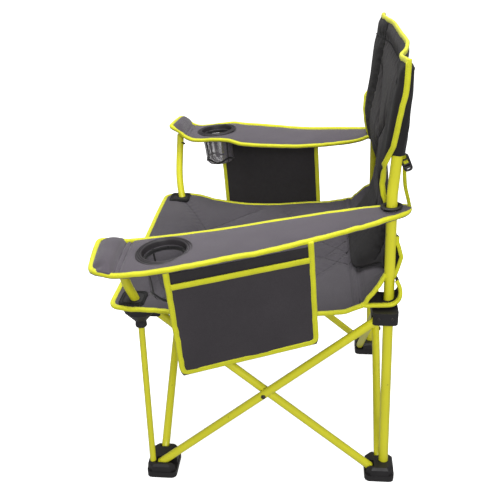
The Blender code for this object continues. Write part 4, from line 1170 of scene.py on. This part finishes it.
def arm_hang(side, y, share):
    """Rise of an armrest over the straight shape, eased along its length."""
    table = ARM_HANG[side]
    inner, outer = (looked_up(curved(table[:, (0, k)], 0.006), y) for k in (1, 2))
    return inner * (1 - share) + outer * share


def arm_rounded(x, y):
    """Rounds the two front corners of an armrest's plan."""
    inner, outer = arm_edges(y)
    for edge, facing, radius in ((outer, 1, 0.021), (inner, -1, 0.012)):
        share = np.clip((x - inner) / (outer - inner), 0, 1)
        front = ARM_FRONT + slant(np.full_like(y, ARM_FRONT), share)
        a = np.maximum((facing * (x - edge) + radius) / radius, 0)
        b = np.maximum((front + radius - y) / radius, 0)
        scale = np.where((a > 0) & (b > 0), np.maximum(a, b) / np.maximum(np.hypot(a, b), 1e-9), 1.0)
        x = x + facing * radius * a * (scale - 1)
        y = y - radius * b * (scale - 1)
    return x, y


def arm_drawn(side, y):
    return ARM_SHORT[side] * (1 - smooth_step(y, ARM_FRONT, ARM_FRONT_PART))


def arm_lifted(y):
    """The lower face and the binding rise a little under the roll."""
    return 0.0045 * (1 - smooth_step(y, -0.29, -0.255))


def arm_top(y, share):
    """Height over the middle layer: a padded roll at the front, a seam behind it, then nearly flat."""
    roll = np.clip((y - ROLL_START) / (ROLL_END - ROLL_START), 0, 1)
    bulge = 0.0155 * np.sin(pi * roll) ** 0.62
    seam = hill(y, ROLL_SEAMS[0], 0.0045) + hill(y, ROLL_SEAMS[1], 0.0035)
    edge = 1 - np.abs(2 * share - 1) ** 4
    flat = 0.0062 * (0.35 + 0.65 * edge)
    return flat + bulge * (0.45 + 0.55 * edge) - 0.0042 * seam


def armrest(side):
    rows, front_rows, columns = 130, 36, 34
    front_part = np.linspace(ARM_FRONT, ARM_FRONT_PART, front_rows)
    lines = np.concatenate([front_part, np.linspace(ARM_FRONT_PART, ARM_REAR, rows - front_rows + 1)[1:]])
    share, y = np.meshgrid(np.linspace(0, 1, columns), lines)
    inner, outer = arm_edges(y)
    x, y = arm_rounded(inner + share * (outer - inner), y + slant(y, share))
    plan = np.stack([x, y, share], axis=-1)
    keep = np.ones((rows - 1, columns - 1), bool)
    pull_to_circle(plan, keep, CUP[:2], CUP_HOLE_R)
    pull_to_circle(plan, keep, ARM_HOLE, 0.017)
    x, y = plan[..., 0], plan[..., 1]
    ripple = 0.0007 * waves(x, y, 41, 5, 6, 20)
    middle = arm_middle_z(y) + arm_hang(side, y, share)
    notch = 0.006 * hill(share, 0.9, 0.05) * hill(y, -0.288, 0.01)   # the roll is pinched near its corner
    drawn = y + arm_drawn(side, y)
    top = np.stack([x, drawn, middle + arm_top(y - slant(y, share), share) + ripple - notch], axis=-1)
    low = np.stack([x, drawn, middle - 0.0045 + arm_lifted(y) - 0.5 * ripple], axis=-1)
    shape = Shape()
    shape.panel(top, low, plan[..., :2], keep)
    piece = make(shape, f"arm_cloth_{side}", ARM_GREY, side, f"front_{side}_post", "cloth",
                 f"{side}_armrest", fold=ARM_FOLD)


def arm_binding(side):
    run = np.linspace(ARM_FRONT, ARM_REAR, 170)
    inner, outer = arm_edges(run)
    front = np.linspace(0, 1, 40)[1:-1]
    outline = np.concatenate([
        np.column_stack([outer, run + slant(run, 1.0)]),
        np.column_stack([inner, run])[::-1],
        np.column_stack([inner[0] + front * (outer[0] - inner[0]), ARM_FRONT + slant(ARM_FRONT, front)]),
    ])
    outline = resampled(np.concatenate([outline, outline[:1]]), 0.003)
    x, y = smoothed(resampled(pairs(*arm_rounded(*outline.T)), 0.003), 3).T
    inner, outer = arm_edges(y)
    share = np.clip((x - inner) / (outer - inner), 0, 1)
    z = arm_middle_z(y) + 0.0004 + arm_lifted(y) + arm_hang(side, y, share)
    path = np.stack([x, y + arm_drawn(side, y), z], axis=1)
    inward = np.cross(UP, tangents(path))
    # The right one's outer edge stands up and leans inward.
    standing = (side == "right") * share**4 * smooth_step(path[:, 1], -0.2, -0.12)
    path[:, 2] += 0.005 * standing
    inward[:, 2] -= 1.3 * standing
    shape = tape(path, inward, width=0.0088, thick=0.0092, rim=0.0018, seed=7)
    make(shape, f"arm_binding_{side}", LIME_TAPE, side, f"front_{side}_post", "cloth", fold=ARM_FOLD)


def arm_stitching(side):
    """The double seam behind the roll."""
    shape = Shape()
    for y in ROLL_SEAMS:
        inner, outer = arm_edges(y)
        x = np.linspace(inner + 0.01, outer - 0.01, 50)
        share = (x - inner) / (outer - inner)
        place = y + slant(y, share)
        height = arm_middle_z(place) + arm_top(y, share) + arm_hang(side, place, share)
        line = np.stack([x, place + arm_drawn(side, place), height], axis=1)
        stitches(shape, line, UP, 0.004, 0.001, 0.0006, 0.0002)
    make(shape, f"arm_stitching_{side}", THREAD, side, f"front_{side}_post", "cloth", fold=ARM_FOLD)


def smoothed(path, times):
    """Softens the corners of a closed line."""
    path = path[:-1].copy()
    for _ in range(times):
        path = (np.roll(path, 1, axis=0) + 2 * path + np.roll(path, -1, axis=0)) / 4
    return np.concatenate([path, path[:1]])


for side in SIDES:
    armrest(side)
    arm_binding(side)
    arm_stitching(side)


# ---- Cup holders ------------------------------------------------------------
CUP_TILT = {"left": unit(ARM_TILT + (0.06, 0.0, 0.0)), "right": ARM_TILT}
CUP_CENTRE = {"left": CUP + (0.0, 0.0, -0.0025), "right": CUP}


def cup_ring(side):
    """A flanged plastic ring with two raised beads."""
    section = [(0.043, -0.011), (0.0436, -0.011), (0.044, 0.005), (0.0545, 0.005), (0.0556, 0.0058),
               (0.0554, 0.007), (0.0541, 0.008), (0.0527, 0.008), (0.0519, 0.0068), (0.0511, 0.0068),
               (0.0503, 0.0086), (0.0488, 0.0088), (0.048, 0.0072), (0.0473, 0.0072), (0.0465, 0.009),
               (0.045, 0.0092), (0.0436, 0.0082), (0.043, 0.0062)]
    shape = lathe(Shape(), section, CUP_CENTRE[side], CUP_TILT[side], 96)
    make(shape, f"cup_rim_{side}", RIM_PLASTIC, side, f"{side}_cup_holder", "moulded_plastic",
         f"{side}_cup_ring", angle=40)


def cup_bag(side):
    """A net cup with four tapes down its side, one round its mouth and a wavy one near its bottom."""
    centre, axis, body = CUP_CENTRE[side], CUP_TILT[side], f"{side}_cup_holder"
    profile = curved([(0.0424, -0.003), (0.042, -0.014), (0.0408, -0.03), (0.0396, -0.046), (0.0392, -0.062),
                      (0.0384, -0.076), (0.0355, -0.084), (0.03, -0.0875), (0.02, -0.089),
                      (0.009, -0.0896), (0.001, -0.0897)], 0.003)
    shape = lathe(Shape(), profile, centre, axis, 48, closed=False)
    net = make(shape, f"cup_net_{side}", NET, side, body, "mesh_cloth", f"{side}_cup_bag")
    shape = Shape()
    first = beside(axis)
    second = np.cross(axis, first)
    for number in range(4):
        angle = pi / 4 + number * pi / 2
        out = cos(angle) * first + sin(angle) * second
        around = -sin(angle) * first + cos(angle) * second
        line = centre + profile[:, :1] * out + profile[:, 1:] * axis
        ribbon(shape, line, around, np.cross(around, tangents(line)), 0.0042, 0.0011)
    angles = np.linspace(0, 2 * pi, 73)
    outward = np.cos(angles)[:, None] * first + np.sin(angles)[:, None] * second
    for height, wave, radius, width in ((-0.076, 0.0045, 0.0392, 0.0062), (-0.0085, 0.0, 0.0408, 0.009)):
        line = centre + radius * outward + (height + wave * np.cos(4 * angles - pi))[:, None] * axis
        ribbon(shape, line, axis, outward, width, 0.0011)
    trim = make(shape, f"cup_net_tape_{side}", BLACK_TAPE, side, body, "webbing")


for side in SIDES:
    cup_ring(side)
    cup_bag(side)


# ---- Arm eyelets ------------------------------------------------------------
def arm_eyelet(side):
    section = [(0.0138, -0.0085), (0.0165, -0.0095), (0.0215, -0.0085), (0.0222, -0.0068), (0.0166, -0.006),
               (0.0166, 0.007), (0.0222, 0.0078), (0.0226, 0.0092), (0.0212, 0.0104), (0.018, 0.0112),
               (0.015, 0.0108), (0.0138, 0.0096)]
    shape = lathe(Shape(), section, (*ARM_HOLE, arm_middle_z(ARM_HOLE[1])), ARM_TILT, 56)
    make(shape, f"arm_ring_{side}", PLASTIC, side, f"{side}_arm_eyelet", "moulded_plastic",
         f"{side}_armrest_eyelet", angle=60)


for side in SIDES:
    arm_eyelet(side)


# ---- Side pockets -----------------------------------------------------------
def pocket_at(side, along, down, out):
    """A point of the pocket: along from front to rear, down from the armrest's edge, out from the backing."""
    upper, lower = POCKET_TOP + POCKET_SHIFT[side][0], POCKET_BOTTOM + POCKET_SHIFT[side][1]
    top, low = (ends[0] + along[..., None] * (ends[1] - ends[0]) for ends in (upper, lower))
    normal = unit(np.cross(lower[0] - upper[0], upper[1] - upper[0]))
    return top + down[..., None] * (low - top) + np.asarray(out)[..., None] * normal, normal


def pocket_ply(side, ply, start, distance, seed, belly, look):
    """A cloth rectangle with two rounded lower corners; start is its top edge as a share of the depth."""
    rows, columns, half_thick = 62, 76, 0.0007
    along, down = np.meshgrid(np.linspace(0, 1, columns), np.linspace(start, 1, rows))
    corner = np.clip((down - 0.93) / 0.07, 0, 1) ** 2
    along = 0.5 + (along - 0.5) * (1 - 0.035 * corner)
    wave = 0.0012 * waves(along * 0.29, down * 0.22, seed, 5, 3, 9)
    out = distance + wave * np.sin(pi * along) + belly * np.sin(pi * along) * np.sin(pi * down)
    outer, inner = (pocket_at(side, along, down, out + step)[0] for step in (half_thick, -half_thick))
    shape = Shape()
    shape.panel(inner, outer, pairs(along * POCKET_WIDE, down * POCKET_DEEP))
    return make(shape, f"pocket_{ply}_{side}", look, side, f"front_{side}_post", "cloth",
                f"{side}_pocket_{ply}", fold=ARM_FOLD)


def pocket(side):
    """Two plies, a binding on the sides and the lower edge, and a bound hem on the front ply."""
    # The backing's darker cloth is painted shade.
    backing = pocket_ply(side, "backing", 0.0, 0.0006, 52, 0.0, POCKET_SHADED_BACKING)
    front = pocket_ply(side, "front", POCKET_HEM, 0.0044, 51, 0.0022, POCKET_CLOTH)
    edge = rounded([(0.0, -0.03), (0.0, 1.0), (1.0, 1.0), (1.0, -0.05)], 0.075, 0.012, closed=False)
    path, normal = pocket_at(side, *edge.T, np.full(len(edge), 0.0026))
    path = resampled(path, 0.004)
    inward = np.cross(tangents(path), normal)
    middle = pocket_at(side, np.array(0.5), np.array(0.5), 0.0)[0]
    inward = inward * np.sign(np.sum(inward * (middle - path), axis=1, keepdims=True))
    shape = tape(path, inward, width=0.0108, thick=0.007, rim=0.001, seed=9)
    rim = make(shape, f"pocket_binding_{side}", LIME_TAPE, side, f"front_{side}_post", "cloth", fold=ARM_FOLD)
    across = np.linspace(0.03, 0.97, 60)
    line = pocket_at(side, across, np.full_like(across, POCKET_HEM - 0.004), np.full_like(across, 0.005))[0]
    shape = tape(line, (0.0, 0.0, -1.0), width=0.0108, thick=0.0038, rim=0.0008, seed=10)
    hem = make(shape, f"pocket_hem_{side}", LIME_TAPE, side, f"front_{side}_post", "cloth", fold=ARM_FOLD)


for side in SIDES:
    pocket(side)


# ---- Arm straps and buckles -------------------------------------------------
def strap_and_buckle(side):
    """A lime tape loop from the armrest's rear tip to a ladder-lock buckle on the sleeve's lower end."""
    body = f"rear_{side}_leg"
    across = unit((0.3, 0.95, 0.0))
    shape = Shape()
    for shift in (-0.0016, 0.0016):
        path = curved([(0.266, 0.298, 0.674), (0.265 + shift, 0.294, 0.69),
                       (0.264 + 2 * shift, 0.287, 0.715), (0.265 + shift, 0.2835, 0.74),
                       (0.268, 0.282, 0.76)], 0.003)
        along = tangents(path)
        wide = unit(np.broadcast_to(across, path.shape) - along * (along @ across)[:, None])
        ribbon(shape, path, wide, np.cross(along, wide), 0.0075, 0.0013)
    make(shape, f"strap_{side}", LIME_THREAD, side, body, "webbing", f"{side}_arm_strap")

    low, high = np.array((0.27, 0.2925, 0.75)), np.array((0.27, 0.275, 0.786))
    along = unit(high - low)
    wide = unit(np.cross((1.0, 0.0, 0.0), along))
    face = np.cross(along, wide)
    centre = (low + high) / 2
    shape = Shape()

    def at(a, b):
        return centre + np.asarray(a)[..., None] * along + np.asarray(b)[..., None] * wide

    corners = [(-0.017, -0.0062), (0.016, -0.0075), (0.016, 0.0075), (-0.017, 0.0062)]
    tube(shape, at(*rounded(corners, 0.005, 0.002).T), 0.0025, 12, dome=False)
    for place, radius in ((-0.01, 0.0034), (-0.0035, 0.003), (0.006, 0.0018)):
        rung = np.linspace(-0.0066, 0.0066, 5)
        tube(shape, at(np.full(5, place), rung), radius, 12, dome=False)
    make(shape, f"buckle_{side}", PLASTIC, side, body, "moulded_plastic", f"{side}_arm_buckle", angle=60)

    shape = Shape()
    woven = 0.0024 * np.sin(np.linspace(0, 3 * pi, 12))   # over and under the rungs
    path = at(np.linspace(-0.004, 0.02, 12), np.zeros(12)) + face * woven[:, None]
    ribbon(shape, path, wide, face, 0.0095, 0.0012)
    make(shape, f"strap_web_{side}", LIME_THREAD, side, body, "webbing")


for side in SIDES:
    strap_and_buckle(side)


# ---- Moulded and turned pieces that stay as they are -------------------------
def kept_pieces():
    """Their looks, and rounded edges."""
    for name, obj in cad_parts.items():
        if obj.hide_render:
            continue
        look = RIVET if "rivet" in name else ROD if "rod" in name else PLASTIC
        if not obj.data.materials:
            obj.data.materials.append(look)
        for slot in obj.material_slots:
            slot.material = look
        weld = obj.modifiers.new("weld", "WELD")
        weld.merge_threshold = 0.00002
        bevel = obj.modifiers.new("bevel", "BEVEL")
        bevel.width = 0.0012 if look is PLASTIC else 0.0005
        bevel.segments = 2
        bevel.limit_method = "ANGLE"
        bevel.angle_limit = radians(38)


kept_pieces()


# ---- Camera, floor, light ---------------------------------------------------
def link(name, data):
    obj = bpy.data.objects.new(name, data)
    bpy.context.scene.collection.objects.link(obj)
    return obj


def camera():
    """It looks from the chair's left, a little from the rear and from above."""
    place = (1.6895, 0.1079 + FRAME_Y, 1.2417)
    yaw, pitch, roll = -0.0907, -0.4373, -0.0168
    look = np.array((-cos(yaw) * cos(pitch), sin(yaw) * cos(pitch), sin(pitch)))
    right = unit(np.cross(look, UP))
    up = np.cross(right, look)
    right, up = cos(roll) * right + sin(roll) * up, cos(roll) * up - sin(roll) * right
    data = bpy.data.cameras.new("camera")
    data.lens, data.sensor_width = 54.5, 36.0
    data.shift_x, data.shift_y = -0.0014, -0.002
    obj = link("camera", data)
    obj.matrix_world = Matrix.Translation(place) @ Matrix(np.stack([right, up, -look], axis=1)).to_4x4()
    bpy.context.scene.camera = obj


def lamp(name, place, target, size, power):
    data = bpy.data.lights.new(name, "AREA")
    data.shape, data.size, data.energy = "SQUARE", size, power
    obj = link(name, data)
    obj.location = place
    obj.rotation_euler = (Vector(target) - Vector(place)).to_track_quat("-Z", "Y").to_euler()


def studio():
    """A white floor that glows by itself and lights nothing, an even white sky and two large lamps."""
    reach, level, white = 30.0, -0.0005, (1.0, 1.0, 1.0, 1.0)
    corners = [(-reach, -reach, level), (reach, -reach, level), (reach, reach, level), (-reach, reach, level)]
    mesh = bpy.data.meshes.new("floor")
    mesh.from_pydata(corners, [], [(0, 1, 2, 3)])
    look = Look("floor_white", (0.9, 0.9, 0.9, 1.0), 0.9)
    look.shader.inputs["Emission Color"].default_value = white
    look.shader.inputs["Emission Strength"].default_value = 0.9
    mesh.materials.append(look.material)
    floor = link("floor", mesh)
    floor.visible_diffuse = False
    floor.visible_glossy = False
    world = bpy.data.worlds.new("studio")
    world.use_nodes = True
    sky = world.node_tree.nodes["Background"].inputs
    sky["Color"].default_value = white
    sky["Strength"].default_value = 0.34
    bpy.context.scene.world = world
    lamp("top", (-0.2, -0.1, 3.2), (0.0, 0.0, 0.4), 2.2, 74)
    lamp("camera_side", (2.9, 0.5, 1.8), (0.0, 0.0, 0.5), 1.0, 40)
    bpy.context.scene.view_settings.view_transform = "Standard"


camera()
studio()
